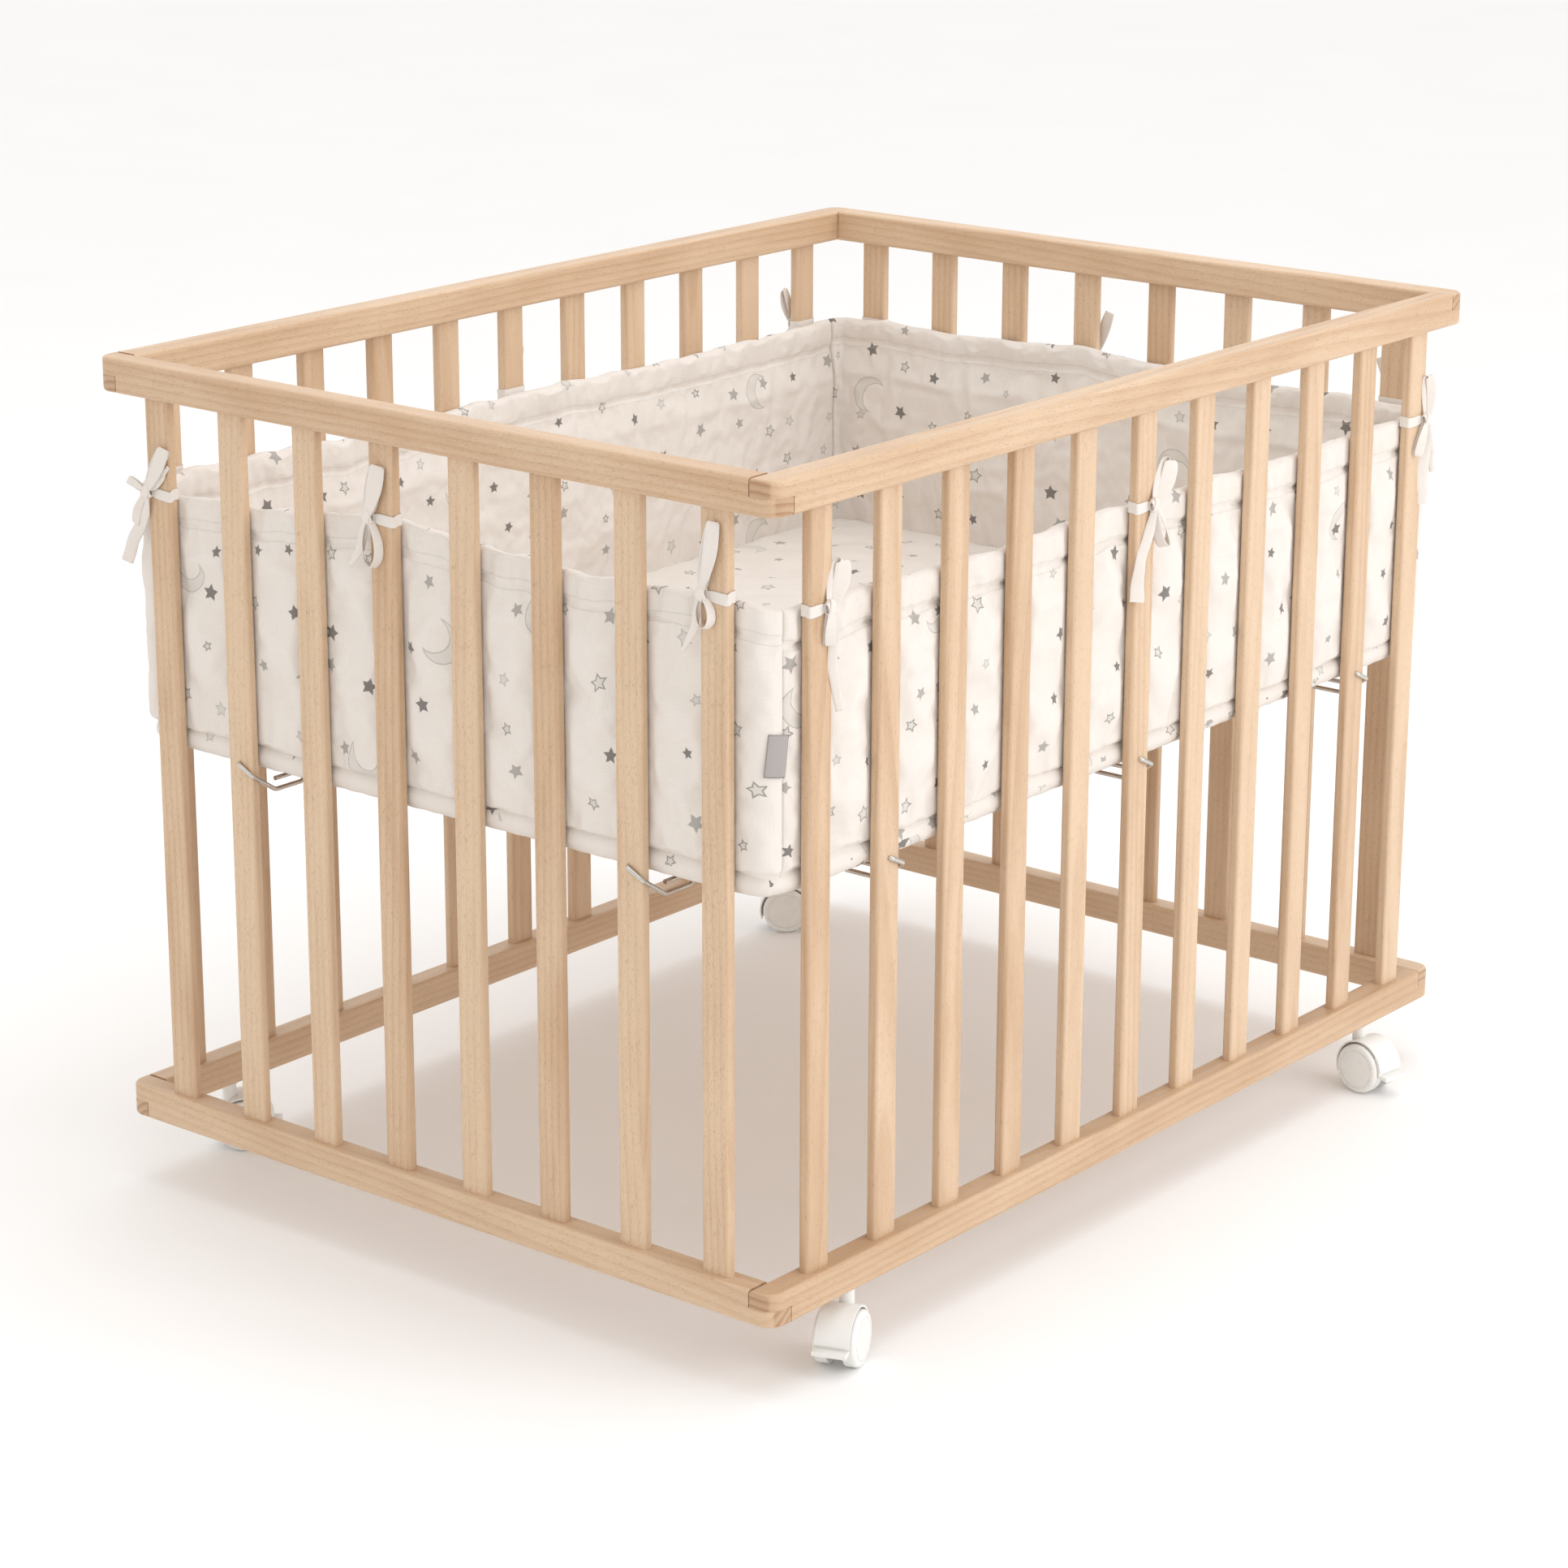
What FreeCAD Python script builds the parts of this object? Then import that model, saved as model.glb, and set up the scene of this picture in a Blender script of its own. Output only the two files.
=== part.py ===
import FreeCAD, Part
import math
import os

import Sketcher

# A rectangular beech playpen on four twin-wheel casters, with a floor board hung on wire hooks and a
# padded cotton insert tied to the slats. Millimetres, +Z up, long side along X, origin on the ground
# under the middle of the whole pen, casters and all. "Front" is the long side at -Y, "left" the short side at -X.

# ---------------------------------------------------------------------------------------------------
# Driving dimensions: sheet alias, value, what it measures
# ---------------------------------------------------------------------------------------------------
DIMENSIONS = [
    ("frame_length", 1020.0, "outer length of the rail frames"),
    ("frame_width", 750.0, "outer width of the rail frames"),
    ("frame_height", 695.0, "from the underside of the bottom rails to the top of the top rails"),
    ("rail_thickness", 24.0, "rail section, across the side"),
    ("rail_height", 30.0, "rail section, upright"),
    ("rail_edge_radius", 3.0, "rounding of the rails' long edges"),
    ("corner_radius", 15.0, "rounding of the frame's upright corners"),
    ("lap_gap", 0.8, "gap at the shoulder of each half-lap"),
    ("glue_gap", 0.1, "gap between the two tongues of a half-lap"),
    ("dowel_radius", 4.0, "dowel through each half-lap"),
    ("dowel_cover", 3.0, "timber left above and below that dowel"),
    ("wood_fit", 0.1, "clearance of dowels and slat ends in the wood"),
    ("slat_width", 28.0, "slat section, along the side"),
    ("slat_thickness", 10.0, "slat section, across the side"),
    ("slat_edge_radius", 3.0, "rounding of the slats' long edges"),
    ("slats_long", 11.0, "slats in a long side"),
    ("slats_short", 8.0, "slats in a short side"),
    ("end_margin_long", 67.5, "frame end to the middle of the first slat, long side"),
    ("end_margin_short", 65.25, "frame end to the middle of the first slat, short side"),
    ("mortise_depth", 15.0, "depth of the slat mortises"),
    ("mortise_end_gap", 0.5, "gap between a slat's end and its mortise floor"),
    ("hook_hole_drop", 337.0, "top of the frame down to the hook holes"),
    ("wire_radius", 2.0, "hook wire"),
    ("hook_hole_fit", 0.1, "clearance of the hook tip in its hole"),
    ("hook_skin_gap", 0.2, "gap between the wire and the slat's faces"),
    ("hook_edge_drop", 8.0, "hole down to the wire's bend at the slat's edge"),
    ("hook_floor_drop", 26.0, "hole down to the lower strand"),
    ("hook_loop_rise", 10.0, "lower strand up to the strand that carries the board"),
    ("hook_reach", 62.0, "slat's outer face to the far end of the hook"),
    ("rest_gap", 0.3, "gap under a piece that lies on round wire"),
    ("board_thickness", 6.0, "floor board"),
    ("board_clearance", 24.0, "floor board to the rails' inner faces"),
    ("board_corner_radius", 12.0, "floor board's corners"),
    ("pad_thickness", 24.0, "floor pad"),
    ("pad_corner_radius", 20.0, "floor pad's corners"),
    ("pad_edge_radius", 8.0, "rounding of the floor pad's edges"),
    ("soft_gap", 0.3, "gap between cloth and its neighbours"),
    ("wall_height", 216.0, "insert wall above the floor pad"),
    ("wall_thickness", 10.0, "padding of the insert wall"),
    ("wall_edge_radius", 3.0, "rounding of the insert wall's edges"),
    ("wall_corner_radius", 8.0, "rounding of the insert's upright corners"),
    ("tape_width", 10.0, "tie tape"),
    ("tape_thickness", 0.8, "tie tape"),
    ("tie_drop", 8.0, "top of the insert down to the ties"),
    ("bow_gap", 7.0, "underside of the top rails down to the bows"),
    ("bow_drop", 90.0, "tape tails below the tie"),
    ("bow_thickness", 3.0, "knot and loops in front of the slat"),
    ("label_width", 17.0, "woven label"),
    ("label_height", 33.0, "woven label"),
    ("label_thickness", 0.8, "woven label"),
    ("label_drop", 104.0, "top of the insert to the top of the label"),
    ("caster_height", 64.0, "ground to the underside of the bottom rails"),
    ("trail", 13.0, "stem axis to wheel axis"),
    ("origin_shift", 14.4, "frame's centre behind the origin, as the front casters reach further out"),
    ("wheel_radius", 24.0, "caster wheel"),
    ("wheel_width", 12.0, "caster wheel"),
    ("boss_play", 0.5, "gap between the stem's boss and each wheel"),
    ("wheel_rim_radius", 3.5, "rounding of a wheel's outer rim"),
    ("hub_wall", 1.4, "closed outer end of a wheel's hub"),
    ("axle_radius", 3.0, "wheel axle"),
    ("turning_fit", 0.06, "radial clearance of every turning fit"),
    ("side_play", 0.3, "end gap beside every turning piece"),
    ("hood_wall", 1.5, "hood shell"),
    ("hood_width", 30.0, "hood along the axle"),
    ("hood_front_angle", 4.0, "hood's front edge, degrees above level"),
    ("hood_back_angle", 200.0, "hood's back edge, degrees from level in front"),
    ("web_front_angle", 50.0, "where the web behind the pedal begins, degrees"),
    ("web_wall", 4.8, "web round the brake arm's eye"),
    ("boss_wall", 2.5, "boss round the stem"),
    ("stem_radius", 4.0, "steel stem"),
    ("stem_root", 7.0, "stem's lower end above the wheel axis"),
    ("sleeve_wall", 1.4, "plastic socket sleeve"),
    ("sleeve_cover", 5.0, "timber left above the sleeve"),
    ("flange_lip", 2.5, "sleeve's flange beyond the sleeve"),
    ("flange_thickness", 1.6, "sleeve's flange"),
    ("pedal_gap", 0.6, "between the treads and the brake shell"),
    ("pedal_wall", 1.1, "brake shell"),
    ("pedal_arm", 4.0, "brake arm along the axle"),
    ("pedal_eye_wall", 3.7, "brake arm's eye round the axle"),
    ("pedal_back_angle", 38.0, "hidden end of the brake shell, degrees"),
    ("pedal_front_angle", -7.0, "open end of the brake shell, degrees"),
    ("lip_length", 9.3, "brake lip beyond the brake shell"),
    ("lip_top_angle", -1.5, "upper face of the brake lip, degrees"),
    ("lip_under_angle", -8.0, "lower face of the brake lip, degrees"),
    ("slot_play", 0.4, "gap each side of the brake arm"),
    ("slot_front_angle", -35.0, "front end of the brake arm's slot, degrees"),
    ("slot_back_angle", 80.0, "back end of the brake arm's slot, degrees"),
    ("turn_front_left", 200.0, "way the front left caster points, degrees from +X"),
    ("turn_front_right", 261.0, "way the front right caster points"),
    ("turn_back_left", 317.0, "way the back left caster points"),
    ("turn_back_right", 309.0, "way the back right caster points"),
]


class Size:
    """A number that also knows the sheet formula it comes from."""

    def __init__(self, value, formula):
        self.value = float(value)
        self.formula = formula

    @staticmethod
    def of(other):
        """Take a Size as it is, and a bare number as a constant."""
        return other if isinstance(other, Size) else Size(other, "(%s)" % float(other))

    def _with(self, sign, other, value):
        return Size(value, "(%s %s %s)" % (self.formula, sign, Size.of(other).formula))

    def __add__(self, other):
        return self._with("+", other, self.value + Size.of(other).value)

    def __sub__(self, other):
        return self._with("-", other, self.value - Size.of(other).value)

    def __mul__(self, other):
        return self._with("*", other, self.value * Size.of(other).value)

    def __truediv__(self, other):
        return self._with("/", other, self.value / Size.of(other).value)

    def __neg__(self):
        return Size(-self.value, "(0 - %s)" % self.formula)

    def cos(self):
        """Cosine of an angle in degrees."""
        return Size(math.cos(math.radians(self.value)), "cos(%s)" % self.formula)

    def sin(self):
        """Sine of an angle in degrees."""
        return Size(math.sin(math.radians(self.value)), "sin(%s)" % self.formula)


class Sizes:
    """The spreadsheet of driving dimensions; each alias reads as an attribute."""

    def __init__(self, document):
        sheet = document.addObject("Spreadsheet::Sheet", "sizes")
        for row, (alias, value, note) in enumerate(DIMENSIONS, start=1):
            sheet.set("A%d" % row, alias)
            sheet.set("B%d" % row, "%g" % value)
            sheet.set("C%d" % row, note)
            sheet.setAlias("B%d" % row, alias)
            setattr(self, alias, Size(value, "sizes.%s" % alias))
        document.recompute()


doc = FreeCAD.newDocument("playpen")
S = Sizes(doc)

# Sizes that several pieces share, each worked out once from the sheet
FRAME_TOP = S.caster_height + S.frame_height
SLAT_BOTTOM = S.caster_height + S.rail_height - S.mortise_depth + S.mortise_end_gap
SLAT_LENGTH = S.frame_height - (S.rail_height - S.mortise_depth + S.mortise_end_gap) * 2
SLAT_INSET = (S.rail_thickness - S.slat_thickness) / 2
PITCH_LONG = (S.frame_length - S.end_margin_long * 2) / (S.slats_long - 1)
PITCH_SHORT = (S.frame_width - S.end_margin_short * 2) / (S.slats_short - 1)
DOWEL_LENGTH = S.rail_height - S.dowel_cover * 2
HOLE_HEIGHT = FRAME_TOP - S.hook_hole_drop
BOARD_BOTTOM = HOLE_HEIGHT - S.hook_floor_drop + S.hook_loop_rise + S.wire_radius + S.rest_gap
PAD_BOTTOM = BOARD_BOTTOM + S.board_thickness
WALL_BOTTOM = PAD_BOTTOM + S.pad_thickness + S.soft_gap
CLOTH_INSET = SLAT_INSET + S.slat_thickness + S.tape_thickness + S.soft_gap * 2
TIE_HEIGHT = WALL_BOTTOM + S.wall_height - S.tie_drop
BOW_RISE = FRAME_TOP - S.rail_height - S.bow_gap - TIE_HEIGHT
CASTER_X = S.frame_length / 2 - S.end_margin_long - PITCH_LONG / 2
CASTER_Y = (S.frame_width - S.rail_thickness) / 2
SLEEVE_RADIUS = S.stem_radius + S.turning_fit + S.sleeve_wall
SLEEVE_LENGTH = S.rail_height - S.sleeve_cover
STEM_TOP = S.caster_height + SLEEVE_LENGTH - S.side_play
BOSS_RADIUS = S.stem_radius + S.boss_wall
WHEEL_GAP = (BOSS_RADIUS + S.boss_play) * 2
WEB_WIDTH = WHEEL_GAP - S.side_play * 2
PEDAL_RADIUS = S.wheel_radius + S.pedal_gap
PEDAL_EYE_RADIUS = S.axle_radius + S.turning_fit + S.pedal_eye_wall
WEB_HUB_RADIUS = PEDAL_EYE_RADIUS + S.slot_play + S.web_wall
HOOD_RADIUS = PEDAL_RADIUS + S.pedal_wall + S.side_play


# ---------------------------------------------------------------------------------------------------
# Helpers for bodies, sketches and features
# ---------------------------------------------------------------------------------------------------
kept = []


def bind(item, **formulas):
    """Tie properties of a document object to the sheet; a dot in a name is written as two underscores."""
    for name, size in formulas.items():
        item.setExpression(name.replace("__", "."), Size.of(size).formula)


def place(item, x=0.0, y=0.0, z=0.0, turn=0.0):
    """Put an object at (x, y, z) from the frame's centre, turned about Z by turn degrees."""
    y = S.origin_shift + y
    item.Placement = FreeCAD.Placement(
        FreeCAD.Vector(Size.of(x).value, Size.of(y).value, Size.of(z).value),
        FreeCAD.Rotation(FreeCAD.Vector(0, 0, 1), Size.of(turn).value),
    )
    bind(item, Placement__Base__x=x, Placement__Base__y=y, Placement__Base__z=z)
    if isinstance(turn, Size):
        bind(item, Placement__Rotation__Angle=turn)


def keep(item, solids):
    """Note that an object is a sub-part, and how many solids it must hold."""
    kept.append((item, solids))
    return item


def origin_feature(body, role):
    """The body's own origin plane or axis with this role."""
    return next(item for item in body.Origin.OriginFeatures if item.Role == role)


def new_body(label):
    """An empty PartDesign body that may hold several separate solids."""
    body = doc.addObject("PartDesign::Body", label)
    body.Label = label
    body.AllowCompound = True
    return body


def new_sketch(body, role, lift=0.0, tilt=None):
    """A sketch on an origin plane, lifted along its normal or tilted about its own vertical axis."""
    sketch = body.newObject("Sketcher::SketchObject", "outline")
    sketch.AttachmentSupport = [(origin_feature(body, role), "")]
    sketch.MapMode = "FlatFace"
    offset = FreeCAD.Placement()
    offset.Base = FreeCAD.Vector(0, 0, Size.of(lift).value)
    if tilt is not None:
        offset.Rotation = FreeCAD.Rotation(FreeCAD.Vector(0, 1, 0), tilt.value)
    sketch.AttachmentOffset = offset
    if isinstance(lift, Size):
        bind(sketch, AttachmentOffset__Base__z=lift)
    if tilt is not None:
        bind(sketch, AttachmentOffset__Rotation__Angle=tilt)
    return sketch


def constrain(sketch, kind, *where, size):
    """Add a dimension to a sketch and tie it to the sheet."""
    index = sketch.addConstraint(Sketcher.Constraint(kind, *where, size.value))
    name = "size%d" % index
    sketch.renameConstraint(index, name)
    sketch.setExpression("Constraints.%s" % name, size.formula)


def draw_polygon(sketch, points):
    """A closed outline of straight lines; every corner is dimensioned from the origin."""
    points = [(Size.of(x), Size.of(y)) for x, y in points]
    corners = [FreeCAD.Vector(x.value, y.value, 0) for x, y in points]
    first = sketch.GeometryCount
    count = len(corners)
    for index, corner in enumerate(corners):
        sketch.addGeometry(Part.LineSegment(corner, corners[(index + 1) % count]), False)
    for index in range(count):
        following = first + (index + 1) % count
        sketch.addConstraint(Sketcher.Constraint("Coincident", first + index, 2, following, 1))
    for index, (x, y) in enumerate(points):
        constrain(sketch, "DistanceX", -1, 1, first + index, 1, size=x)
        constrain(sketch, "DistanceY", -1, 1, first + index, 1, size=y)


def draw_box(sketch, left, right, low, high):
    """A rectangle given by its four sides."""
    draw_polygon(sketch, [(left, low), (right, low), (right, high), (left, high)])


def draw_circle(sketch, x, y, radius):
    """A circle with its centre dimensioned from the origin."""
    x, y = Size.of(x), Size.of(y)
    index = sketch.GeometryCount
    sketch.addGeometry(
        Part.Circle(FreeCAD.Vector(x.value, y.value, 0), FreeCAD.Vector(0, 0, 1), radius.value), False
    )
    constrain(sketch, "Radius", index, size=radius)
    constrain(sketch, "DistanceX", -1, 1, index, 3, size=x)
    constrain(sketch, "DistanceY", -1, 1, index, 3, size=y)


def draw_round_box(sketch, x, y, width, depth, radius):
    """A rectangle about (x, y) with rounded corners: four lines and four tangent arcs."""
    x, y = Size.of(x), Size.of(y)
    first = sketch.GeometryCount
    half_w, half_d, r = width.value / 2, depth.value / 2, radius.value
    centre = FreeCAD.Vector(x.value, y.value, 0)
    inner_w, inner_d = half_w - r, half_d - r
    runs = [
        ((-inner_w, -half_d), (inner_w, -half_d), (inner_w, -inner_d), -90),
        ((half_w, -inner_d), (half_w, inner_d), (inner_w, inner_d), 0),
        ((inner_w, half_d), (-inner_w, half_d), (-inner_w, inner_d), 90),
        ((-half_w, inner_d), (-half_w, -inner_d), (-inner_w, -inner_d), 180),
    ]
    for start, end, pivot, angle in runs:
        begin, finish, middle = [centre + FreeCAD.Vector(u, v, 0) for u, v in (start, end, pivot)]
        sketch.addGeometry(Part.LineSegment(begin, finish), False)
        circle = Part.Circle(middle, FreeCAD.Vector(0, 0, 1), r)
        sketch.addGeometry(Part.ArcOfCircle(circle, math.radians(angle), math.radians(angle + 90)), False)
    for index in range(4):
        line, arc = first + 2 * index, first + 2 * index + 1
        after = first + (2 * index + 2) % 8
        sketch.addConstraint(Sketcher.Constraint("Tangent", line, 2, arc, 1))
        sketch.addConstraint(Sketcher.Constraint("Tangent", arc, 2, after, 1))
        direction = "Horizontal" if index % 2 == 0 else "Vertical"
        sketch.addConstraint(Sketcher.Constraint(direction, line))
        if index:
            sketch.addConstraint(Sketcher.Constraint("Equal", first + 1, arc))
    constrain(sketch, "Radius", first + 1, size=radius)
    constrain(sketch, "DistanceY", -1, 1, first, 1, size=y - depth / 2)
    constrain(sketch, "DistanceX", -1, 1, first + 2, 1, size=x + width / 2)
    constrain(sketch, "DistanceY", -1, 1, first + 4, 1, size=y + depth / 2)
    constrain(sketch, "DistanceX", -1, 1, first + 6, 1, size=x - width / 2)


def pad(body, sketch, length, both_ways=False):
    """Raise a sketch by length, or by half of it each way."""
    feature = body.newObject("PartDesign::Pad", "pad")
    feature.Profile = sketch
    feature.Midplane = both_ways
    feature.Length = length.value
    bind(feature, Length=length)
    doc.recompute()
    return feature


def pocket(body, sketch, length=None, both_ways=False, along_normal=False):
    """Cut a sketch into the body: by length, or right through if no length is given."""
    before = body.Shape.Volume
    feature = body.newObject("PartDesign::Pocket", "pocket")
    feature.Profile = sketch
    feature.Midplane = both_ways
    feature.Reversed = along_normal
    if length is None:
        feature.Type = "ThroughAll"
    else:
        feature.Length = length.value
        bind(feature, Length=length)
    doc.recompute()
    check_cut(body, before)
    return feature


def check_cut(body, before):
    """Stop if the last cut took nothing away."""
    if body.Shape.Volume >= before - 1e-6:
        raise RuntimeError("a cut in %s removes nothing" % body.Label)


def repeat(body, feature, count, length):
    """Repeat a feature along the body's X axis, over length from first to last."""
    pattern = body.newObject("PartDesign::LinearPattern", "row")
    pattern.Originals = [feature]
    pattern.Direction = (origin_feature(body, "X_Axis"), [""])
    pattern.Length = length.value
    pattern.Occurrences = int(round(Size.of(count).value))
    bind(pattern, Length=length)
    if isinstance(count, Size):
        bind(pattern, Occurrences=count)
    body.Tip = pattern
    doc.recompute()
    return pattern


def round_edges(body, radius, chosen):
    """Fillet every edge of the body for which chosen(edge) is true."""
    base = body.Tip
    names = ["Edge%d" % (i + 1) for i, edge in enumerate(base.Shape.Edges) if chosen(edge)]
    feature = body.newObject("PartDesign::Fillet", "rounding")
    feature.Base = (base, names)
    feature.Radius = radius.value
    bind(feature, Radius=radius)
    doc.recompute()
    return feature


def is_level(edge, *heights):
    """True if the edge lies flat at one of these heights, in the body's own frame."""
    box = edge.BoundBox
    return box.ZLength < 1e-6 and any(abs(box.ZMin - height) < 1e-6 for height in heights)


def is_upright_at(edge, x, y):
    """True if the edge stands upright on the outer face, -Y by y, and at either end, -X or +X by x."""
    box = edge.BoundBox
    upright = box.XLength < 1e-6 and box.YLength < 1e-6
    return upright and abs(abs(box.XMin) - x) < 1e-6 and abs(box.YMin + y) < 1e-6


def turn_sector(body, inner, outer, low, high, start, end, cut=False):
    """A ring sector about the body's Y axis, from start to end degrees above the +X direction."""
    sketch = new_sketch(body, "XY_Plane", tilt=(start + end) / -2.0)
    draw_box(sketch, inner, outer, low, high)
    before = body.Shape.Volume if cut else 0.0
    feature = body.newObject("PartDesign::Groove" if cut else "PartDesign::Revolution", "sector")
    feature.Profile = sketch
    feature.ReferenceAxis = (sketch, ["V_Axis"])
    feature.Midplane = True
    feature.Angle = (end - start).value
    bind(feature, Angle=end - start)
    doc.recompute()
    if cut:
        check_cut(body, before)
    return feature


# ---------------------------------------------------------------------------------------------------
# Timber frame. Each side has its own frame: X along the side to the right seen from outside, -Y
# outwards, Y zero in the middle of the rails.
# ---------------------------------------------------------------------------------------------------
class Side:
    """One side of the pen: where it stands and what it carries."""

    def __init__(self, name, turn, length, reach, slats, pitch, hook_slats, tie_slats):
        self.name = name
        self.turn = turn
        self.length = length
        self.slats = slats
        self.pitch = pitch
        self.hook_slats = hook_slats
        self.tie_slats = tie_slats
        across = reach / 2 - S.rail_thickness / 2
        angle = math.radians(turn)
        self.x = across * round(math.sin(angle))
        self.y = -across * round(math.cos(angle))

    def put(self, item, height=0.0):
        """Place a piece made in the side's own frame."""
        place(item, self.x, self.y, height, self.turn)
        return item

    def slat_x(self, number):
        """Where slat number 1, 2, 3... counted from the left stands along the side."""
        return self.pitch * (number - 1) - self.pitch * (self.slats - 1) / 2


LONG = (S.frame_length, S.frame_width, S.slats_long, PITCH_LONG, (2, 6, 10))
SHORT = (S.frame_width, S.frame_length, S.slats_short, PITCH_SHORT, (2, 7))
SIDES = [
    Side("front", 0, *LONG, (1, 6, 11)),
    Side("right", 90, *SHORT, (1, 5, 8)),
    Side("back", 180, *LONG, (1, 6, 11)),
    Side("left", 270, *SHORT, (1, 4, 8)),
]


def make_rail(side, is_top):
    """One rail: rounded bar, a half-lap at each end, slat mortises, dowel holes and caster bores."""
    body = new_body("%s_rail_%s" % ("top" if is_top else "bottom", side.name))
    half_length, half_depth = side.length / 2, S.rail_thickness / 2
    outline = new_sketch(body, "XY_Plane")
    draw_box(outline, -half_length, half_length, -half_depth, half_depth)
    pad(body, outline, S.rail_height)
    round_edges(body, S.corner_radius, lambda e: is_upright_at(e, half_length.value, half_depth.value))
    round_edges(body, S.rail_edge_radius, lambda e: is_level(e, 0.0, S.rail_height.value))

    lap = half_length - S.rail_thickness - S.lap_gap
    middle, outside = S.rail_height / 2, S.rail_height * 2
    laps = new_sketch(body, "XZ_Plane")
    draw_box(laps, -half_length - outside, -lap, -outside, middle + S.glue_gap / 2)
    draw_box(laps, lap, half_length + outside, middle - S.glue_gap / 2, outside)
    pocket(body, laps, both_ways=True)

    mortise = new_sketch(body, "XY_Plane", lift=0.0 if is_top else S.rail_height)
    draw_round_box(mortise, side.slat_x(1), 0.0, S.slat_width + S.wood_fit * 2,
                   S.slat_thickness + S.wood_fit * 2, S.slat_edge_radius + S.wood_fit)
    cut = pocket(body, mortise, S.mortise_depth, along_normal=is_top)
    repeat(body, cut, side.slats, side.pitch * (side.slats - 1))

    dowels = new_sketch(body, "XY_Plane", lift=middle)
    for sign in (-1.0, 1.0):
        draw_circle(dowels, (half_length - half_depth) * sign, 0.0, S.dowel_radius + S.wood_fit)
    pocket(body, dowels, DOWEL_LENGTH + S.wood_fit * 2, both_ways=True)

    if not is_top and side.name in ("front", "back"):
        bores = new_sketch(body, "XY_Plane")
        for sign in (-1.0, 1.0):
            draw_circle(bores, CASTER_X * sign, 0.0, SLEEVE_RADIUS + S.wood_fit)
        pocket(body, bores, SLEEVE_LENGTH + S.wood_fit, along_normal=True)
    height = FRAME_TOP - S.rail_height if is_top else S.caster_height
    keep(side.put(body, height), 1)


def make_slats(side):
    """The slats of one side, with a hole for each hook tip."""
    body = new_body("slats_%s" % side.name)
    section = new_sketch(body, "XY_Plane", lift=SLAT_BOTTOM)
    draw_round_box(section, side.slat_x(1), 0.0, S.slat_width, S.slat_thickness, S.slat_edge_radius)
    bar = pad(body, section, SLAT_LENGTH)
    repeat(body, bar, side.slats, side.pitch * (side.slats - 1))
    holes = new_sketch(body, "XZ_Plane")
    for number in side.hook_slats:
        draw_circle(holes, side.slat_x(number), HOLE_HEIGHT, S.wire_radius + S.hook_hole_fit)
    pocket(body, holes, both_ways=True)
    keep(side.put(body), int(side.slats.value))


def make_dowels():
    """The eight dowels of the corner laps."""
    pins = []
    x, y = (S.frame_length - S.rail_thickness) / 2, (S.frame_width - S.rail_thickness) / 2
    low = S.caster_height + (S.rail_height - DOWEL_LENGTH) / 2
    for height in (low, low + S.frame_height - S.rail_height):
        for turn_x, turn_y in ((-1.0, -1.0), (1.0, -1.0), (1.0, 1.0), (-1.0, 1.0)):
            pin = doc.addObject("Part::Cylinder", "dowel")
            bind(pin, Radius=S.dowel_radius, Height=DOWEL_LENGTH)
            place(pin, x * turn_x, y * turn_y, height)
            pins.append(pin)
    group = doc.addObject("Part::Compound", "corner_dowels")
    group.Label = "corner_dowels"
    group.Links = pins
    keep(group, len(pins))


# ---------------------------------------------------------------------------------------------------
# Wire hooks
# ---------------------------------------------------------------------------------------------------
def bent_wire(points, bends, radius):
    """Round wire along straight runs joined by tangent arcs, one bend radius for each inner point."""
    edges = []
    start = points[0]
    for before, corner, after, bend in zip(points, points[1:], points[2:], bends):
        into = (before - corner).normalize()
        out = (after - corner).normalize()
        half = math.acos(max(-1.0, min(1.0, into.dot(out)))) / 2
        reach = bend / math.tan(half)
        first, last = corner + into * reach, corner + out * reach
        bisector = (into + out).normalize()
        crown = corner + bisector * (bend / math.sin(half) - bend)
        edges.append(Part.LineSegment(start, first).toShape())
        edges.append(Part.Arc(first, crown, last).toShape())
        start = last
    edges.append(Part.LineSegment(start, points[-1]).toShape())
    path = Part.Wire(edges)
    heading = points[1] - points[0]
    profile = Part.Wire([Part.Circle(points[0], heading, radius).toShape()])
    wire = path.makePipeShell([profile], True, True)
    expected = math.pi * radius ** 2 * path.Length
    if abs(wire.Volume - expected) > 0.03 * expected:
        raise RuntimeError("the swept wire's volume is wrong")
    return wire


def make_hooks(side):
    """Hooks of one side: tip in the slat, round its right edge, down and in, and back under the board."""
    outer = -S.slat_thickness.value / 2
    skin = outer - S.hook_skin_gap.value - S.wire_radius.value
    edge = S.slat_width.value / 2 + S.hook_skin_gap.value + S.wire_radius.value
    hole = HOLE_HEIGHT.value
    low = hole - S.hook_floor_drop.value
    high = low + S.hook_loop_rise.value
    inward = outer + S.hook_reach.value - S.wire_radius.value
    under_pad = outer + SLAT_INSET.value + S.slat_thickness.value + S.hook_edge_drop.value
    tip_end = -outer - S.hook_skin_gap.value
    bend = S.hook_skin_gap.value + S.wire_radius.value
    loop_bend = S.hook_loop_rise.value / 2 - 0.1
    shapes = []
    for number in side.hook_slats:
        x = side.slat_x(number).value
        route = [
            (x, tip_end, hole),
            (x, skin, hole),
            (x + edge, skin, hole - S.hook_edge_drop.value),
            (x + edge, under_pad, low),
            (x + edge, inward, low),
            (x + edge, inward, high),
            (x + edge, under_pad, high),
        ]
        points = [FreeCAD.Vector(*point) for point in route]
        bends = [bend, bend * 1.5, bend * 4, loop_bend, loop_bend]
        shapes.append(bent_wire(points, bends, S.wire_radius.value))
    group = doc.addObject("Part::Feature", "hooks_%s" % side.name)
    group.Label = "hooks_%s" % side.name
    group.Shape = Part.makeCompound(shapes)
    keep(side.put(group), len(shapes))


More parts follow.
